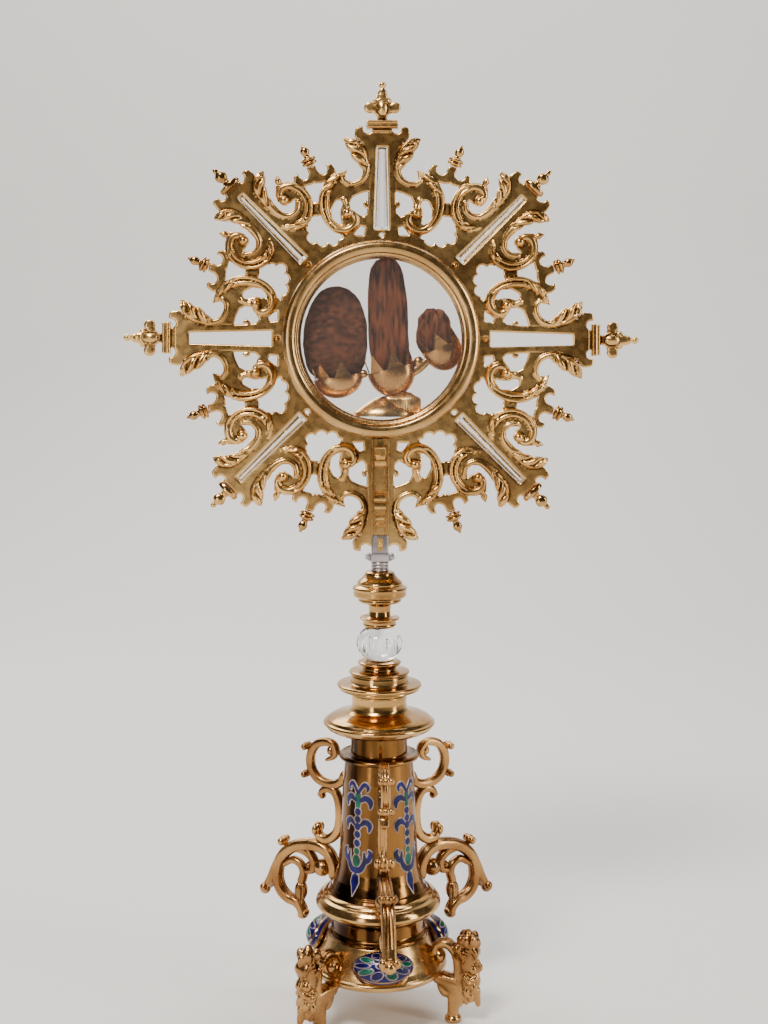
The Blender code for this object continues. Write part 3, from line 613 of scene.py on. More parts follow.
def cross_finial(x, s):
    """Abacus and trefoil cross that end an arm; s runs outwards."""
    t = np.abs(x)
    neck = strip(s, x, ARM_END + 0.2, 211, 10.4, 9.4)
    abacus = strip(s, x, 210, 218.6, 16, 15.4)
    cross = union(strip(s, x, 218, 226, 5, 4.6), disc((t, s), (0, 229.5), 8.4),
                  disc((t, s), (12.6, 231.4), 5.7), stroke((t, s), [(0, 229, 5.6), (11, 231, 4.6)]),
                  disc((t, s), (6, 238), 3.2), stroke((t, s), [(0, 237, 7), (0, 245, 4.8), (0, 251, 1.8)]))
    ball = disc((t, s), (0, 253.6), 3.6)
    boss = 1 - np.hypot(x / 5.2, (s - 230) / 7.4)
    body = union(neck, abacus, cross, ball)
    roll = np.where(abacus > 0, 2.6 + 1.6 * dome((s - 212.4) / 2.4) + 2.4 * dome((s - 216.4) / 2.4), 0)
    leaf = np.where(s > 234, 1.6 * dome(x / 6.5) * (0.6 + 0.4 * dome((((s - 234) / 5.4) % 1) * 2 - 1)), 0)
    rise = np.maximum(roll, np.where(cross > 0, 0.7 * np.sqrt(np.clip(cross, 0, 3)) + leaf, 0))
    rise = np.maximum(rise, np.where(boss > 0, 2.2 + 3.4 * np.sqrt(np.clip(boss, 0, 1)), 0))
    rim = np.abs(np.hypot(x / 6.6, (s - 230) / 9) - 1)
    rise = np.where((rim < 0.14) & (cross > 0), np.maximum(rise, 2.8), rise)
    rise = np.maximum(rise, np.where(ball > 0, 3.6 * dome(1 - ball / 3.6), 0))
    bevel = 0.7 * (1 - np.clip(body / 1.2, 0, 1)) ** 2
    return body, rise, 2.2 - bevel + rise


def build_finials():
    verts, faces, hollow = relief_parts(cross_finial, (-20, 20, 205, 260), 0.55, back=1.0)
    for side, turn in (("top", 90), ("left", 180), ("right", 0)):
        item = add_piece(f"cross_{side}", verts, faces, GOLD, 50, sun_place(turn - 90), hollow=hollow)
        settle(item, "gilt_bronze", f"finial_{side}")
    acorn = [(6, 212.2), (11, 212.6), (11.9, 215), (11.4, 217.6), (6, 218.6), (3.6, 220.6), (3.4, 222.4),
             (5.4, 224.6), (6.4, 227.6), (5.8, 230.4), (3.4, 232.6), (2, 233.6), (2.7, 235.4),
             (2.2, 237.6), (0.6, 238.9)]
    for index, turn in enumerate((45, 135, 225, 315)):
        item = turned(f"acorn_{index + 1}", acorn, BRIGHT, arm_place(turn), 0.62, sides=40)
        settle(item, "gilt_bronze", f"acorn_finial_{index + 1}")
    baluster = [(3.6, 187), (4.6, 187.8), (7.4, 188.4), (8, 189.8), (7.2, 190.8), (5.4, 191.4),
                (7.6, 192.2), (8.2, 193.4), (7, 194.8), (3.4, 196.4), (3, 198), (4.2, 200), (4.8, 202.6),
                (3.8, 205.2), (1.9, 207), (1.3, 208.6), (0.4, 209.8)]
    for index in range(8):
        quarter, mirrored = divmod(index, 2)
        turn = 90 * quarter + (67.5 if mirrored else 22.5)
        item = turned(f"baluster_{index + 1}", baluster, BRIGHT, arm_place(turn), 0.75, sides=32)
        settle(item, "gilt_bronze", f"small_finial_{index + 1}")


# Case
def build_case():
    case = Matrix.Translation((0, 0, SUN_HEIGHT)) @ Matrix.Rotation(math.radians(90), 4, "X")
    back = case @ Matrix.Rotation(math.radians(180), 4, "Y")
    rim = [(81.6, 23.4), (81.8, 25.2), (84, 25.8), (84.9, 27.4), (87, 29.2), (90, 29.9), (93.2, 29.4),
           (95.8, 27.6), (97, 25), (97, 19.6), (84.2, 19.6), (84.2, 23)]
    drum = [(84, -19), (90, -19), (90, 19), (84, 19)]
    pane = [(0.1, 24.2), (30, 23.9), (60, 23.1), (83.2, 21.9), (83.2, 20.1), (60, 21.1), (30, 21.9),
            (0.1, 22.2)]
    item = turned("case_wall", drum, RIM, case, closed=True, sides=128)
    settle(item, "gilt_bronze", "case_drum")
    for side, place in (("front", case), ("back", back)):
        item = turned(f"{side}_moulding", rim, RIM, place, closed=True, sides=160)
        settle(item, "gilt_bronze", f"{side}_ring")
        item = turned(f"{side}_pane", pane, PANE, place, sides=96)
        settle(item, "rock_crystal", f"{side}_glass")


def build_stem():
    turned_parts = (
        ("ferrule", "ferrule_dome", BRIGHT,
         [(0.1, 438.6), (12, 438.6), (14.4, 437.6), (15.2, 435.4), (17.4, 432.6), (20.6, 429.8),
          (22.8, 427.4), (22.4, 425.4), (24, 424.4), (27.2, 423), (27.4, 421), (26.4, 419.6),
          (26.6, 414.6), (24.6, 412.8), (21.4, 412.2), (21.8, 409.4), (20.4, 407.8), (13, 406.8),
          (11.4, 404.6), (10.6, 399), (11.2, 394.2)]),
        ("saucer_above", "upper_collar", BRIGHT,
         [(11, 393.8), (14.5, 391.8), (18.6, 393), (20.2, 392.4), (19.6, 390.6), (16.6, 389),
          (16.4, 386.4), (17, 385.4), (15, 383.2), (12.8, 382.8)]),
        ("saucer_below", "lower_collar", BRIGHT,
         [(13, 351), (15, 349.4), (19.6, 349.4), (21.9, 348.2), (21.2, 346.2), (17.6, 344.6),
          (16.6, 342.4), (16.9, 341)]),
        ("discs", "stepped_discs", BRIGHT,
         [(16.7, 341), (24, 340.2), (29.6, 339.6), (30.5, 338.4), (29.6, 337.2), (28, 336.4),
          (28.6, 334.8), (28.8, 329.4), (30.4, 327.8), (41, 327.2), (42.4, 325.8), (41.8, 323.8),
          (39.6, 323), (40.2, 321.4), (38, 320.6), (29.6, 320.4)]),
        ("knop", "wide_knop", BRIGHT,
         [(29.4, 320.2), (28.6, 317), (27.8, 316.2), (28, 314.8), (27.2, 309), (27.8, 303.4),
          (29.6, 300.6), (31, 300.2), (33, 298.8), (40, 297.4), (46.6, 295.6), (51.6, 293), (53.6, 290.4),
          (55.4, 289.8), (56, 288), (54.6, 286.2), (52, 283.4), (46, 280.4), (37, 278.4), (28.4, 277.4)]),
        ("drum", "stem_drum", SHAFT,
         [(28.2, 277.4), (28.2, 258.4), (30, 257.4), (35.6, 257.2), (36.4, 258), (38.8, 257.6),
          (40.3, 255.8), (39.6, 253.6), (37.2, 252.2), (34, 251.6)]),
        ("shaft", "column", SHAFT,
         [(34, 251.5), (34.6, 245), (35.8, 233), (36.3, 215), (37, 197), (38, 176), (39.2, 158),
          (40.6, 146), (43, 135), (46.4, 127), (47.6, 126), (48.6, 124.4), (50, 122.6)]),
        ("foot_moulding", "foot_flange", BRIGHT,
         [(48, 122.8), (51.6, 122.2), (54.4, 120.4), (55, 119), (58.4, 117.6), (61, 114.4), (62.2, 111),
          (62, 108.6), (60.4, 107.4), (59.8, 106), (56, 105.4), (49.5, 105.2)]),
        ("foot_neck", "foot_drum", SHAFT,
         [(49.5, 105.2), (49.7, 101), (47, 98.6), (46.4, 96), (46.4, 86), (48, 84.2), (49.8, 82.8),
          (50, 80.6)]),
        ("skirt", "base_skirt", RIM,
         [(47, 80.6), (50, 79.8), (51.8, 76), (54, 71), (56.2, 66.6), (59, 62), (62.6, 57.2), (66.4, 53.4),
          (68, 52.6), (68.8, 50.8), (68.4, 48.4), (66.8, 46.4), (60, 45.9), (0.1, 45.9)]),
    )
    for name, node, mat, profile in turned_parts:
        settle(turned(name, profile, mat), "gilt_bronze", node)


def build_knop():
    """Rock crystal knop with eight oval hollows ground into it."""
    rows, sides, ball, middle = 64, 160, 23.0, 366.8
    verts = []
    for i in range(rows + 1):
        lat = math.radians(-62 + 124 * i / rows)
        for k in range(sides):
            lon = 2 * math.pi * k / sides
            nearest = math.radians(round(math.degrees(lon + math.radians(78)) / 45) * 45 - 78)
            off = math.hypot((lon - nearest) / 0.3, lat / 0.55)
            radius = ball - 3.0 * (1 - min(off, 1) ** 2)
            across = radius * math.cos(lat)
            verts.append((across * math.cos(lon), across * math.sin(lon),
                          middle + 0.82 * radius * math.sin(lat)))
    faces = [(i * sides + k, i * sides + (k + 1) % sides, (i + 1) * sides + (k + 1) % sides,
              (i + 1) * sides + k)
             for i in range(rows) for k in range(sides)]
    faces += [tuple(reversed(range(sides))), tuple(range(rows * sides, (rows + 1) * sides))]
    item = add_piece("crystal_ball", verts, faces, CRYSTAL, 24)
    settle(item, "rock_crystal", "crystal_knop")


# Enamel
def column_radius(h):
    return np.interp(h, (122.6, 126, 135, 146, 158, 176, 197, 215, 233, 251.5),
                     (50, 47.6, 43, 40.6, 39.2, 38, 37, 36.3, 35.8, 34))


def pendant(w, h):
    """Blue and green parts of the enamel that hangs down the column, w across and h up."""
    p = (np.abs(w), h)
    blue = union(stroke(p, curve([(0.4, 226, 1.5), (3.4, 231, 1.8), (7, 234.6, 2.1), (10.4, 232, 1.7),
                                  (9.6, 228.4, 1)])),
                 stroke(p, curve([(3.4, 219, 2), (8.6, 221.6, 2.9), (13, 218, 2.8), (13, 212.6, 1.2)])),
                 stroke(p, curve([(3.2, 195, 1.6), (8.4, 198.6, 2.8), (12.8, 195.4, 2.6), (12.4, 190, 1.1)])),
                 stroke(p, curve([(8.2, 169, 1), (9, 161, 2.2), (5.4, 153.4, 2.8), (0, 151.4, 3)])),
                 stroke(p, curve([(9.6, 159.6, 1.6), (13, 163, 2.5), (14.6, 168.4, 2.2), (12.6, 171.4, 1)])),
                 patch(p, [(-0.1, 128.5), (4.6, 140.4), (3.4, 147), (-0.1, 149), (-3, 140)]))
    for height in (207.6, 200.3, 193.4, 185.8, 177.4):
        blue = union(blue, 3.5 - np.hypot(w, (h - height) * 0.98))
    green = union(strip(h, w, 211.6, 225.6, 2.6, 3.4), 3.2 - np.hypot(w, h - 169.7),
                  4.6 - np.hypot(w * 1.05, (h - 160.6) * 0.78))
    return blue, green


def pendant_field(w, h):
    blue, green = pendant(w, h)
    shape = union(blue, green) + 0.9
    return shape, np.zeros_like(shape), 0.35 + 0.45 * np.clip(shape / 1.4, 0, 1) ** 0.5


def build_pendants():
    verts, faces, hollow = relief_parts(pendant_field, (-16.5, 16.5, 125, 239), 0.6)
    blue, green = pendant(verts[:, 0], verts[:, 1])
    marks = {"blue": np.clip(0.5 + blue / 0.5, 0, 1), "green": np.clip(0.5 + green / 0.5, 0, 1)}
    marks["white"] = np.clip(1 - marks["blue"] - marks["green"], 0, 1) * 0.8
    radius = column_radius(verts[:, 1])
    for index, turn in enumerate(ENAMEL_TURNS):
        a = math.radians(turn) + verts[:, 0] / radius
        reach = radius + verts[:, 2]
        points = np.column_stack([reach * np.cos(a), reach * np.sin(a), verts[:, 1]])
        settle(add_piece(f"pendant_{index + 1}", points, faces, ENAMEL, 50, **marks), "enamel")


def build_boss(index):
    """Domed oval boss with a flower of enamel petals."""
    slope = Vector((SKIRT_FOOT[0] - SKIRT_TOP[0], SKIRT_FOOT[1] - SKIRT_TOP[1])).normalized()
    out = Vector((-slope.y, slope.x))
    middle = Vector(((SKIRT_TOP[0] + SKIRT_FOOT[0]) / 2, (SKIRT_TOP[1] + SKIRT_FOOT[1]) / 2))
    front = math.radians(-90 + BRACKET_TURNS[index] + 120 * index)
    rings, sides = 48, 176
    verts, blue, green, white = [], [], [], []
    for ring in range(rings + 2):
        share = max(min(ring / rings, 1), 0.002)
        for k in range(sides):
            angle = 2 * math.pi * k / sides
            x, y = share * math.cos(angle), share * math.sin(angle)
            number = round(angle / (math.pi / 5)) % 10
            c, s = math.cos(number * math.pi / 5), math.sin(number * math.pi / 5)
            q = math.hypot((x * c + y * s - 0.6) / 0.26, (y * c - x * s) / 0.165)
            lift = 1.6 + (BOSS_RISE - 1.6) * math.sqrt(max(1 - share * share, 0)) + 0.7 * dome(min(q, 1))
            if ring > rings:
                lift = 0.4
            spot = middle + slope * (15.4 * y) + out * lift
            turn = front + 31 * x / 62.0
            verts.append((spot.x * math.cos(turn), spot.x * math.sin(turn), spot.y))
            petal = q < 0.84
            green.append(float(petal and number % 2 == 0))
            line = 0.84 <= q < 0.97 or 0.2 < share < 0.25
            gold = 0.885 < share < 0.925 or share > 0.985
            blue.append(float(not gold and not line and not (petal and number % 2 == 0)))
            white.append(float(line) * 0.9)
    faces = [(i * sides + k, (i + 1) * sides + k, (i + 1) * sides + (k + 1) % sides,
              i * sides + (k + 1) % sides)
             for i in range(rings + 1) for k in range(sides)]
    faces += [tuple(range(sides)), tuple(reversed(range((rings + 1) * sides, (rings + 2) * sides)))]
    item = add_piece(f"petal_boss_{index + 1}", verts, faces, ENAMEL, 60, blue=blue, green=green, white=white)
    settle(item, "enamel", f"enamel_boss_{index + 1}")


# Freely shaped castings, gathered as one mesh
ROUND_END = (0.15, 0.5, 0.9, 1.3)
BAR = 1.3


class Bag:
    def __init__(self):
        self.verts = []
        self.faces = []

    def grid(self, rows):
        """Joins rings of points, one after another, and closes both ends."""
        base = len(self.verts)
        sides = len(rows[0])
        for row in rows:
            self.verts += [tuple(v) for v in row]
        for i in range(len(rows) - 1):
            for k in range(sides):
                a, b = base + i * sides + k, base + i * sides + (k + 1) % sides
                self.faces.append((a, b, b + sides, a + sides))
        self.faces.append(tuple(range(base + sides - 1, base - 1, -1)))
        last = base + (len(rows) - 1) * sides
        self.faces.append(tuple(range(last, last + sides)))

    def ball(self, centre, radii, rows=12, sides=20):
        rings = []
        angles = [2 * math.pi * k / sides for k in range(sides)]
        for i in range(rows + 1):
            lat = -math.pi / 2 + math.pi * i / rows
            across = max(math.cos(lat), 0.02)
            rings.append([Vector(centre) + Vector((radii[0] * across * math.cos(a),
                                                   radii[1] * across * math.sin(a),
                                                   radii[2] * math.sin(lat))) for a in angles])
        self.grid(rings)

    def sweep(self, stops, side, ribs=0.0, power=2.6, sides=28, count=5):
        """Bar along (x, y, z, half width, half depth) stops; side is the direction of its depth."""
        path = curve(stops, count)
        points = [Vector(p[:3]) for p in path]
        side = Vector(side).normalized()
        section = []
        for k in range(sides):
            a = 2 * math.pi * (k + 0.5) / sides
            c, s = math.cos(a), math.sin(a)
            x = math.copysign(abs(c) ** (2 / power), c)
            y = math.copysign(abs(s) ** (2 / power), s)
            groove = math.exp(-((abs(x) - 0.42) / 0.13) ** 2) if abs(y) > 0.5 else 0
            section.append((x, y * (1 - ribs * groove)))
        rings = []
        last = len(points) - 1
        for i, point in enumerate(points):
            ahead = (points[min(i + 1, last)] - points[max(i - 1, 0)]).normalized()
            out = side.cross(ahead).normalized()
            width, depth = path[i][3], path[i][4]
            start = [(-math.cos(a), math.sin(a)) for a in ROUND_END if i == 0]
            end = [(math.cos(a), math.sin(a)) for a in reversed(ROUND_END) if i == last]
            for shift, scale in start + [(0, 1)] + end:
                middle = point + ahead * shift * width
                rings.append([middle + side * x * depth * scale + out * y * width * scale for x, y in section])
        self.grid(rings)

    def lathe(self, profile, centre, axis, sides=24, lobes=0, depth=0.0):
        """Turned or lobed form about an axis through centre, from (radius, distance) pairs."""
        turn = Vector(axis).normalized().to_track_quat("Z", "Y").to_matrix()
        rings = []
        for r, h in profile:
            ring = []
            for k in range(sides):
                a = 2 * math.pi * k / sides
                swell = 1 - depth * (0.5 - 0.5 * math.cos(lobes * a)) if lobes else 1
                ring.append(Vector(centre) + turn @ Vector((r * swell * math.cos(a),
                                                            r * swell * math.sin(a), h)))
            rings.append(ring)
        self.grid(rings)

    def stretch(self, start, factor):
        """Stretches everything that lies further out than start."""
        self.verts = [(start + (x - start) * factor, y, z) if x > start else (x, y, z) for x, y,
                      z in self.verts]

    def stack(self, levels, back, bevel=0.5):
        """Block with bevelled corners from (half width, height, front) levels, with a flat back."""
        rows = []
        for half, height, front in levels:
            corners = ((half, back), (half, -front + bevel), (half - bevel, -front), (-half + bevel, -front),
                       (-half, -front + bevel), (-half, back))
            rows.append([(x, y, height) for x, y in reversed(corners)])
        self.grid(rows)

    def piece(self, name, mat, crease=50, place=None, **marks):
        return add_piece(name, self.verts, self.faces, mat, crease, place, **marks)


def flat_stops(stops, depth):
    """Stops in the upright plane of a bracket, each as deep as given."""
    return [(x, y, 0, w * BAR, depth) for x, y, w in stops]


def stemmed_ball(bag, start, centre, radius):
    """Ball on a short waisted stem."""
    way = Vector((centre[0] - start[0], centre[1] - start[1], 0))
    reach = way.length
    profile = [(3.2, 0), (2.6, reach * 0.3), (1.9, reach * 0.5), (2.4, reach * 0.6), (2.9, reach * 0.66),
               (2.4, reach * 0.72)]
    bag.lathe(profile, (start[0], start[1], 0), way, 20)
    bag.ball((centre[0], centre[1], 0), (radius, radius, radius))
    for sign in (-1, 1):
        bag.ball((centre[0], centre[1], 1.15 * radius * sign), (0.78 * radius, 0.86 * radius, 0.8 * radius))


def build_bracket(index):
    bag = Bag()
    side = (0, 0, 1)
    upper = [(39, 229, 3.4), (42.5, 222, 3.6), (50, 218, 3.7), (60, 218, 3.7), (70, 222.5, 3.7),
             (76.5, 232, 3.6), (77, 245, 3.5), (70.5, 256, 3.4), (60, 260, 3.3), (51.5, 258, 3),
             (48.6, 251, 2.7), (52, 245.5, 2.3), (58, 242.5, 1.4)]
    bag.sweep(flat_stops(upper, 4.6), side, 0.2)
    bag.ball((54, 252, 0), (4.4, 4.8, 5.2))
    stemmed_ball(bag, (74, 249), (82.4, 253), 4.1)
    stemmed_ball(bag, (73.5, 227), (82.6, 224.6), 4.1)
    run = [(65.5, 206, 2.2), (62.4, 210.6, 2.9), (56, 213, 3.3), (49, 210, 3.5), (45, 201, 3.6),
           (43.6, 188, 3.7), (45, 174, 3.8), (50.5, 165.4, 3.8), (58, 161, 3.8), (65, 162, 3.6),
           (69, 166.5, 3.4)]
    bag.sweep(flat_stops(run, 4.8), side, 0.2)
    bag.ball((63.6, 204.6, 0), (3.4, 3.2, 4.6))
    for z, size in ((0, 1), (-6.4, 0.74), (6.4, 0.74)):
        bag.ball((68.5, 170.5, z), (4.6 * size, 6.8 * size, 5 * size))
    outer = [(49.5, 126, 4.2), (50.5, 136, 4.4), (55.5, 146.5, 4.6), (66, 152.4, 4.8), (80, 152.4, 4.8),
             (95, 148, 4.7), (107, 138.6, 4.6), (115, 125, 4.3), (121, 112, 3.8), (126, 104, 3)]
    bag.sweep(flat_stops(outer, 6.6), side, 0.22)
    bag.lathe([(3, -8), (3.9, -6.4), (3, -5), (2.4, -3), (3.2, -1)], (129.4, 99.2, 0), (0.5, -0.86, 0))
    bag.ball((129.4, 98.6, 0), (5.8, 5.8, 5.8), rows=16, sides=28)
    for sign in (-1, 1):
        bag.ball((127.6, 101.4, 6.2 * sign), (4.2, 4.8, 4.2))
    inner = [(108, 135, 2.6), (113, 124, 3.8), (114.4, 112, 4.2), (110.4, 101, 4.3), (102, 94, 4.2),
             (93, 91.6, 4), (87, 86.4, 3.8), (84.6, 79.6, 3.4)]
    bag.sweep(flat_stops(inner, 6.4), side, 0.22)
    stemmed_ball(bag, (102, 141), (108, 152), 4.8)
    curl = [(101, 143.6, 2.6), (90, 146.6, 3.4), (79, 143.6, 3.6), (72.6, 136, 3.4), (73.6, 127.6, 3),
            (80, 125.4, 2.4)]
    bag.sweep(flat_stops(curl, 5), side, 0.15)
    bag.ball((78, 131.6, 0), (3.8, 3.8, 5.2))
    crook = [(106, 128, 2.2), (97, 133.6, 2.8), (88, 130.6, 3), (84.6, 122.6, 3.2), (86.6, 114, 3.4)]
    bag.sweep(flat_stops(crook, 4.6), side, 0.0)
    bud = [(1.5, -2), (3.4, -0.6), (4, 1), (3, 2.4), (4.6, 3.4), (6.2, 6.6), (6.8, 11), (6.2, 15.6),
           (4.6, 19), (3.4, 20.4), (4.4, 21.8), (4.8, 23.6), (3.6, 26), (1.4, 27.6)]
    bag.lathe(bud, (87.4, 114.6, 0), (0.02, -1, 0), 48, 10, 0.16)
    bag.sweep([(58.6, 134, 0, 2.6, 3), (61, 131, 0, 3, 3.6), (62, 129.4, 0, 2.6, 3)], side)
    bag.ball((63.4, 131.4, 0), (8.9, 8.9, 8.9), rows=22, sides=36)
    for x, y in ((82.4, 82), (87, 79)):
        bag.ball((x, y, 0), (3.8, 3.6, 5.4))
    bag.stretch(40, BRACKET_STRETCH)
    item = bag.piece(f"scroll_bracket_{index + 1}", SHADED_GILT, 60, radial_place(index, BRACKET_TURNS[index]))
    settle(item, "gilt_bronze", f"bracket_{index + 1}")


def build_foot(index):
    """Grotesque mask with a leafy crown and a curled beard, on a scrolled leg."""
    bag = Bag()
    side = (0, 0, 1)
    bag.ball((94, 62, 0), (9.6, 19, 9.4), rows=20, sides=32)
    bag.ball((95.4, 42, 0), (9, 16, 8.8), rows=20, sides=32)
    bag.ball((95, 78, 0), (8.4, 11, 9), rows=16, sides=28)
    bag.sweep([(98, 76, 0, 3.6, 8.4), (103.6, 70, 0, 3.6, 9), (104, 65.6, 0, 2.2, 8)], side)
    for sign in (-1, 1):
        bag.ball((101.4, 62.4, 4.3 * sign), (3.4, 2.5, 2.8))
        bag.ball((102.6, 63, 4.5 * sign), (2.5, 1.7, 1.9))
        bag.ball((100.6, 54, 5 * sign), (5, 5, 4.2))
        bag.sweep([(95, 74, 8 * sign, 2.4, 2.4), (101, 71, 5 * sign, 2.2, 2.6),
                   (105.4, 68, 1.6 * sign, 1.8, 2)],
                  (0, 0.5, 1))
        bag.sweep([(105, 49, 1.5 * sign, 2, 2), (103.4, 45.6, 6 * sign, 2.4, 2.4),
                   (98, 42.6, 9.4 * sign, 2.6, 2.6), (94, 47, 10.4 * sign, 2, 2)], (1, 0, 0))
        bag.ball((93.4, 47, 9.8 * sign), (2.6, 2.8, 2.4))
        bag.sweep([(84, 66, 7 * sign, 3, 2), (88, 70, 10.4 * sign, 2.6, 2), (92, 66, 11 * sign, 2, 1.6),
                   (91, 62, 10.6 * sign, 1.4, 1.2)], (0, 0.2, 1))
    bag.sweep([(103, 65, 0, 2, 2.2), (105.4, 59, 0, 2.4, 2.8), (107.4, 54.6, 0, 3, 3.6),
               (105.4, 51.6, 0, 2, 3)], side)
    for x, y, z, length, lean in ((94, 84, 0, 10, 0.1), (89, 82, 5.2, 8.4, -0.1), (89, 82, -5.2, 8.4, -0.1),
                                  (99, 80, 4, 11, 0.2), (99, 80, -4, 11, 0.2), (86, 75, 7.4, 7, -0.4),
                                  (86, 75, -7.4, 7, -0.4), (102, 78, 0, 9, 0.3)):
        leaf = [(4.4, 0), (5.4, length * 0.3), (5.2, length * 0.55), (4.2, length * 0.8),
                (2.6, length * 0.96), (1, length * 1.06)]
        bag.lathe(leaf, (x, y - 3, z), (lean, 1, z * 0.05), 20, 4, 0.2)
    for x, y, z, r in ((104, 42, 0, 4.2), (101.4, 36, 4.6, 4), (101.4, 36, -4.6, 4), (104, 31, 0, 4.2),
                       (98.6, 27, 4, 4), (98.6, 27, -4, 4), (104.6, 24, 0, 3.8), (94, 32, 7, 3.6),
                       (94, 32, -7, 3.6), (93.6, 23, 2.4, 3.6), (93.6, 23, -2.4, 3.6), (105.4, 20.4, 0, 3)):
        bag.ball((x, y, z), (r, r * 1.5, r), rows=10, sides=16)
    band = [(84, 44, 4), (83.6, 58, 4), (80, 69, 4), (71.6, 75, 3.9), (62, 73, 3.6), (57.4, 66, 3.2)]
    bag.sweep(flat_stops(band, 6.6), side, 0.2)
    bag.ball((64, 62, 0), (7, 7, 7.4), rows=16, sides=28)
    bag.sweep([(58, 65, 0, 2.6, 6), (58.4, 59, 0, 2.2, 5.4), (62.6, 55.4, 0, 1.8, 4.6)], side)
    leg = [(62, 40, 4), (70, 38.6, 6), (79, 35, 8), (83, 28, 8.4), (81, 20, 7), (79, 14, 5), (78.6, 9, 4.6)]
    bag.sweep(flat_stops(leg, 6.8), side, 0.12)
    bag.sweep(flat_stops([(68.6, 39, 4.4), (66.6, 33.6, 4.2), (70, 27, 3.6), (74.6, 27.6, 2.6)], 5.4), side)
    bag.lathe([(7.4, 0), (8.6, 0.6), (9, 2.4), (8.4, 4.4), (6.8, 5.8), (6, 8)], (78.6, 0.0, 0), (0, 1, 0), 32)
    bag.sweep([(57, 43, 0, 3, 7), (68, 43, 0, 3.4, 7.4), (84, 40, 0, 4, 7.4)], side)
    bag.stretch(60, FOOT_STRETCH)
    item = bag.piece(f"mask_foot_{index + 1}", SHADED_GILT, 60, radial_place(index, 60 + FOOT_TURN))
    tool = item.modifiers.new("join", "REMESH")
    tool.mode = "VOXEL"
    tool.voxel_size = 0.9 * STEP
    tool.use_smooth_shade = True
    soften = item.modifiers.new("soften", "SMOOTH")
    soften.factor = 0.5
    soften.iterations = 2
    bpy.context.view_layer.update()
    shape = bpy.data.meshes.new_from_object(item.evaluated_get(bpy.context.evaluated_depsgraph_get()))
    item.modifiers.clear()
    item.data = shape
    shape.shade_smooth()
    mark_hollows(shape)
    settle(item, "gilt_bronze", f"foot_{index + 1}")


def mark_hollows(mesh, gain=2.6):
    """Writes how far each point lies in a recess, from the bend of the surface round it, as a mark that paints
    shade into the gilt colour.
    """
    def read(items, name, size, kind=float):
        values = np.empty(len(items) * size, kind)
        items.foreach_get(name, values)
        return values.reshape(-1, size)

    count = len(mesh.vertices)
    co, normal = read(mesh.vertices, "co", 3), read(mesh.vertices, "normal", 3)
    edges = read(mesh.edges, "vertices", 2, int)
    way = co[edges[:, 1]] - co[edges[:, 0]]
    length = np.maximum(np.linalg.norm(way, axis=1), 1e-9)
    bend = np.zeros(count)
    links = np.zeros(count)
    for a, b, sign in ((0, 1, 1), (1, 0, -1)):
        np.add.at(bend, edges[:, a], sign * np.sum(way * normal[edges[:, a]], axis=1) / length)
        np.add.at(links, edges[:, a], 1)
    bend /= np.maximum(links, 1)
    for _ in range(3):
        total = np.zeros(count)
        np.add.at(total, edges[:, 0], bend[edges[:, 1]])
        np.add.at(total, edges[:, 1], bend[edges[:, 0]])
        bend = 0.4 * bend + 0.6 * total / np.maximum(links, 1)
    layer = mesh.attributes.get("hollow") or mesh.attributes.new("hollow", "FLOAT", "POINT")
    layer.data.foreach_set("value", np.clip(bend * gain, 0, 1).astype(np.float32))


# Under the case
def build_pilaster():
    bag = Bag()
    back = -PLATE_HALF - 0.2
    bag.stack([(8.9, 475.7, 7.6), (8.9, 571, 7.6)], back)
    for sign in (-1, 1):
        base = len(bag.verts)
        bag.stack([(1, 475.7, 11), (1, 571, 11)], back)
        bag.verts[base:] = [(x + 7.9 * sign, y, z) for x, y, z in bag.verts[base:]]
        base = len(bag.verts)
        bag.stack([(0.5, 519.6, 13.6), (0.5, 543.4, 13.6)], back)
        bag.verts[base:] = [(x + 4.1 * sign, y, z) for x, y, z in bag.verts[base:]]
    bag.stack([(4.2, 476, 11), (4.2, 484, 11), (4.7, 485, 12.6), (4.7, 486.6, 12.6), (4.1, 487.4, 11.4),
               (4.1, 490.6, 11.4), (4.7, 491.4, 12.8), (4.5, 493.4, 11.8), (4.1, 495.4, 11.6),
               (4.8, 496.8, 13.2), (4.8, 501, 13.2), (5.6, 502, 14.6), (5.9, 504.8, 15.3),
               (5.6, 507.4, 14.6), (4.9, 508, 13.2), (4.9, 509, 13.2), (5.6, 509.8, 14.6),
               (5.9, 512.6, 15.3), (5.6, 515.4, 14.6), (4.8, 516, 13), (4.8, 517, 13), (5.3, 517.8, 13.9),
               (4.6, 519.2, 12.4), (4.6, 543.6, 12.4), (5, 544.4, 13.4), (5.5, 545.2, 15.4),
               (5.7, 547.4, 16), (5.7, 550, 16), (4.6, 551, 13.8), (4.9, 554, 14.2), (5.3, 555.2, 15.2),
               (5.3, 561.8, 15.2), (5.5, 562.8, 15.8), (3.6, 563.6, 13.4), (3.6, 571, 13)], back)
    settle(bag.piece("stepped_pilaster", GOLD, 30), "gilt_bronze", "pilaster")


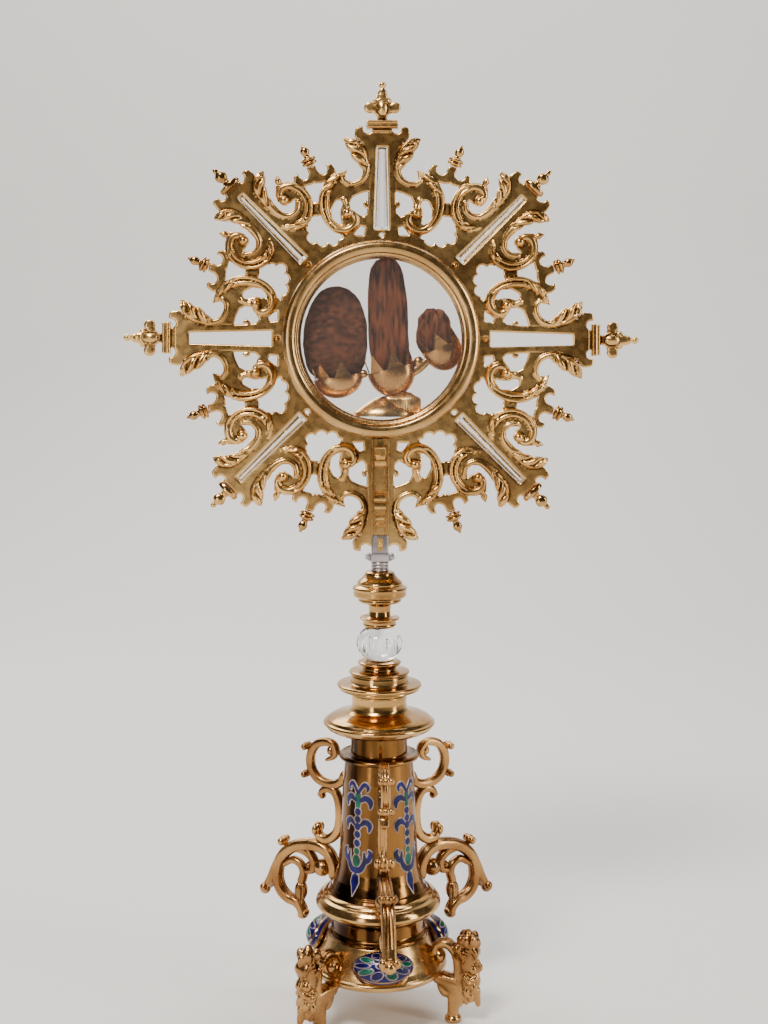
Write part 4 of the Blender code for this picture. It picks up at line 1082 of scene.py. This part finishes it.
def build_tang():
    back = -PLATE_HALF - 0.2
    bag = Bag()
    bag.stack([(8.2, 456.6, 7), (8.6, 458, 8), (8.4, 473, 8), (7.8, 474.9, 7.4)], back, 1.2)
    settle(bag.piece("tang_bar", STEEL, 30), "grey_steel", "steel_tang")
    bag = Bag()
    bag.stack([(3, 459.5, 8.6), (3, 472.5, 8.6)], back)
    bag.ball((0, -8.6, 466), (2.2, 1.6, 2.6))
    settle(bag.piece("tang_inlay", GOLD, 30), "gilt_bronze")
    bag = Bag()
    bag.stack([(9.2, 448.4, 8), (9.2, 450, 9), (8.7, 456.3, 9)], 8, 1.2)
    for sign in (-1, 1):
        bag.lathe([(1.4, -5), (2.8, -4.4), (3.1, -3), (3.1, 3), (2.8, 4.4), (1.4, 5)],
                  (11.4 * sign, -1, 453.8), (0, 1, 0))
        bag.lathe([(1.2, -5.6), (1.4, 5.6)], (11.4 * sign, -1, 453.8), (0, 1, 0), 16)
        bag.sweep([(8 * sign, -1, 450, 1.6, 4), (11 * sign, -1, 450.4, 1.4, 4),
                   (14 * sign, -1, 452, 1, 3.6)], (0, 1, 0))
    settle(bag.piece("tang_shoe", STEEL, 40), "grey_steel", "tang_foot")
    profile = [(0.1, 438.4), (7.6, 438.4)]
    for level in (438.6, 441.9, 445.2):
        profile += [(7.6, level), (8.4, level + 0.3), (8.9, level + 1.4), (8.4, level + 2.6),
                    (7.6, level + 2.9)]
    settle(turned("ribbed_neck", profile + [(0.1, 448.3)], STEEL, crease=50), "grey_steel", "ferrule_dome")


# Inside the case, x across, y up and z forwards from the middle of the sunburst
def lumpy(name, centre, radii, mat, power=2.3, lump=0.07, fibre=0.0, taper=0.0, lean=0.0, rows=64, sides=88):
    """Rounded relic with lumps and long fibres."""
    spot = Vector(centre)
    verts = []
    for i in range(rows + 1):
        lat = math.pi * (i / rows - 0.5)
        for k in range(sides):
            lon = 2 * math.pi * k / sides
            unit = Vector((math.cos(lat) * math.cos(lon), math.sin(lat), math.cos(lat) * math.sin(lon)))
            size = sum(abs(c) ** power for c in unit) ** (-1 / power)
            swell = 1 + lump * (noise.noise(unit * 2.2 + spot) + 0.5 * noise.noise(unit * 6 + spot))
            around = Vector((math.cos(lon) * 5, math.sin(lon) * 5, unit.y * 0.9))
            swell += fibre * noise.noise(around * 1.8 + spot) * math.cos(lat)
            narrow = 1 - taper * unit.y
            verts.append((centre[0] + radii[0] * (unit.x * narrow + lean * unit.y) * size * swell,
                          centre[1] + radii[1] * unit.y * size * swell,
                          centre[2] + radii[2] * unit.z * size * swell * narrow))
    faces = [(i * sides + k, (i + 1) * sides + k, (i + 1) * sides + (k + 1) % sides,
              i * sides + (k + 1) % sides)
             for i in range(rows) for k in range(sides)]
    faces += [tuple(range(sides)), tuple(reversed(range(rows * sides, (rows + 1) * sides)))]
    settle(add_piece(name, verts, faces, mat, 60, sun_place()), "relic")


def crown_cup(name, middle, half, tilt, depth, deep, teeth, height):
    """Tilted cup that grips a relic, with pointed leaves round its rim."""
    bag = Bag()
    a = math.radians(tilt)
    across, up = Vector((math.cos(a), math.sin(a), 0)), Vector((-math.sin(a), math.cos(a), 0))
    angles = np.arange(72) * 2 * math.pi / 72

    def spot(along, rise, out):
        return Vector(middle) + across * along + up * rise + Vector((0, 0, out))

    def ring(share, drop, inset=0.0):
        return [spot((half * share - inset) * math.cos(t), drop, (deep * share - inset) * math.sin(t))
                for t in angles]

    steps = [math.radians(b) for b in (88, 80, 70, 60, 50, 40, 30, 20, 10, 0)]
    rows = [ring(math.cos(b), -depth * math.sin(b)) for b in steps]
    rows += [ring(1.03, 0.4), ring(1.03, 1.4), ring(0.99, 1.6, 0.8)]
    rows += [ring(math.cos(b), -depth * math.sin(b) + 1.2, 1.2) for b in reversed(steps)]
    bag.grid(rows)
    for k in range(teeth):
        t = 2 * math.pi * (k + 0.5) / teeth
        spots = []
        for turn, rise, out in ((-0.3, 0, 1), (0.3, 0, 1), (0, 1, 1.02), (-0.3, 0, 0.94), (0.3, 0, 0.94),
                                (0, 1, 0.97)):
            b = t + turn * 6 / teeth * 1.4
            spots.append(tuple(spot(half * out * math.cos(b), rise * height + 0.6, deep * out * math.sin(b))))
        base = len(bag.verts)
        bag.verts += spots
        bag.faces += [tuple(base + v for v in f) for f in ((0, 2, 1), (3, 4, 5), (0, 1, 4, 3),
                                                           (1, 2, 5, 4), (2, 0, 3, 5))]
    settle(bag.piece(name, SHADED_GILT, 40, sun_place()), "gilt_bronze")


def build_relics():
    lumpy("relic_left", (-45.6, 3.5, -5), (31.5, 48, 11.5), RELIC, 2.4, 0.045, 0.03, 0.10, 0.02)
    lumpy("relic_middle", (6.6, 20, -5), (19.4, 60, 11), FIBRE, 3, 0.035, 0.10, 0.03, -0.14)
    lumpy("relic_right", (53, 6.5, -4), (16.5, 24, 9.5), FIBRE, 2.6, 0.11, 0.16, 0.06)
    crown_cup("cup_left", (-42.5, -39.5, 0), 24.5, 10, 20, 15.5, 7, 17)
    crown_cup("cup_middle", (10, -31, 0), 24, 14, 27, 15.5, 7, 19)
    crown_cup("cup_right", (60.5, -9, 0), 19.6, 25, 23, 14, 6, 15)
    bag = Bag()
    bag.ball((-17.4, -35, 0), (4.2, 4.4, 6))
    bag.ball((37.5, -23, 0), (5.4, 6, 8))
    bag.sweep([(28, -36, 0, 4, 6), (38, -29, 0, 4.6, 6), (47, -21, 0, 4, 6)], (0, 0, 1))
    flutes = [(17.5, 0), (18.6, 0.8), (18.6, 12), (17.4, 14), (12, 16.5), (9, 19), (4, 20)]
    bag.lathe(flutes, (21.5, -72.5, 0), (0, 1, 0), 240, 48, 0.05)
    bag.lathe([(31, 0), (30.6, 4), (24, 9), (15, 15), (8, 18.5), (1, 20)], (4, -77, 0), (0, 1, 0), 64)
    bag.verts = [(x, y, z * 0.62) for x, y, z in bag.verts]
    settle(bag.piece("cup_mount", GOLD, 40, sun_place()), "gilt_bronze")


# Floor, lights and camera
def build_stage():
    verts = []
    profile = [(-3.0, 0), (1.0, 0)] + [(1.0 + 0.6 * math.sin(a), 0.6 - 0.6 * math.cos(a))
                                       for a in np.radians(np.arange(6, 91, 6))] + [(1.6, 3.2)]
    for y, z in profile:
        verts += [(-3.5, y, z - 0.0002), (3.5, y, z - 0.0002)]
    faces = [(2 * i, 2 * i + 1, 2 * i + 3, 2 * i + 2) for i in range(len(profile) - 1)]
    mesh = bpy.data.meshes.new("floor")
    mesh.from_pydata(verts, [], faces)
    mesh.shade_smooth()
    mat, _, node = shader("pale_floor")
    put(node, "Base Color", (0.84, 0.82, 0.79, 1))
    put(node, "Roughness", 0.8)
    mesh.materials.append(mat)
    floor = bpy.data.objects.new("floor", mesh)
    bpy.context.scene.collection.objects.link(floor)


def add_light(name, spot, target, size, power, colour=(1, 1, 1)):
    data = bpy.data.lights.new(name, "AREA")
    data.shape = "RECTANGLE"
    data.size, data.size_y = size
    data.energy = power
    data.color = colour
    lamp = bpy.data.objects.new(name, data)
    lamp.location = spot
    lamp.rotation_mode = "QUATERNION"
    lamp.rotation_quaternion = (Vector(target) - Vector(spot)).to_track_quat("-Z", "Y")
    bpy.context.scene.collection.objects.link(lamp)


def build_view():
    add_light("key", (-0.6, -1.1, 1.75), (0, 0, 0.3), (0.6, 0.35), 36, (1.0, 0.95, 0.87))
    add_light("side", (1.2, -0.5, 0.6), (0, 0, 0.28), (0.25, 1.1), 9, (1.0, 0.96, 0.9))
    add_light("low", (-0.7, -1.2, 0.25), (0, 0, 0.2), (0.2, 0.7), 3, (1.0, 0.96, 0.9))
    add_light("rear", (-0.5, 1.0, 1.1), (0, 0, 0.35), (1.0, 0.6), 9)
    add_light("backdrop", (0, 0.3, 2.2), (0, 1.5, 0.6), (2.4, 0.5), 38)
    world = bpy.data.worlds.new("studio")
    bpy.context.scene.world = world
    world.use_nodes = True
    world.node_tree.nodes["Background"].inputs["Color"].default_value = (0.92, 0.88, 0.84, 1)
    world.node_tree.nodes["Background"].inputs["Strength"].default_value = 0.09
    data = bpy.data.cameras.new("camera")
    data.sensor_width = 36.0
    data.lens = data.sensor_width * FAR / PHOTO_HEIGHT
    data.shift_y = -(PHOTO_HEIGHT / 2 - HORIZON) / PHOTO_HEIGHT
    data.clip_start, data.clip_end = 0.01, 50
    camera = bpy.data.objects.new("camera", data)
    camera.location = (0.0016, AXIS_Y - FAR * STEP, EYE_HEIGHT * STEP)
    camera.rotation_mode = "XYZ"
    camera.rotation_euler = (math.radians(90), math.radians(-0.3), 0)
    bpy.context.scene.collection.objects.link(camera)
    bpy.context.scene.camera = camera


def build():
    build_sunburst()
    build_crystal("crystal_top", 90, 110.2, 191.4, 6.6, 4.4)
    for index, turn in enumerate((45, 135, 225, 315)):
        build_crystal(f"crystal_{index + 1}", turn, 111, 200, 4.5, 3)
    build_finials()
    build_case()
    build_stem()
    build_knop()
    build_pilaster()
    build_tang()
    build_relics()
    build_pendants()
    for index in range(3):
        build_bracket(index)
        build_foot(index)
        build_boss(index)
    build_stage()
    build_view()


build()
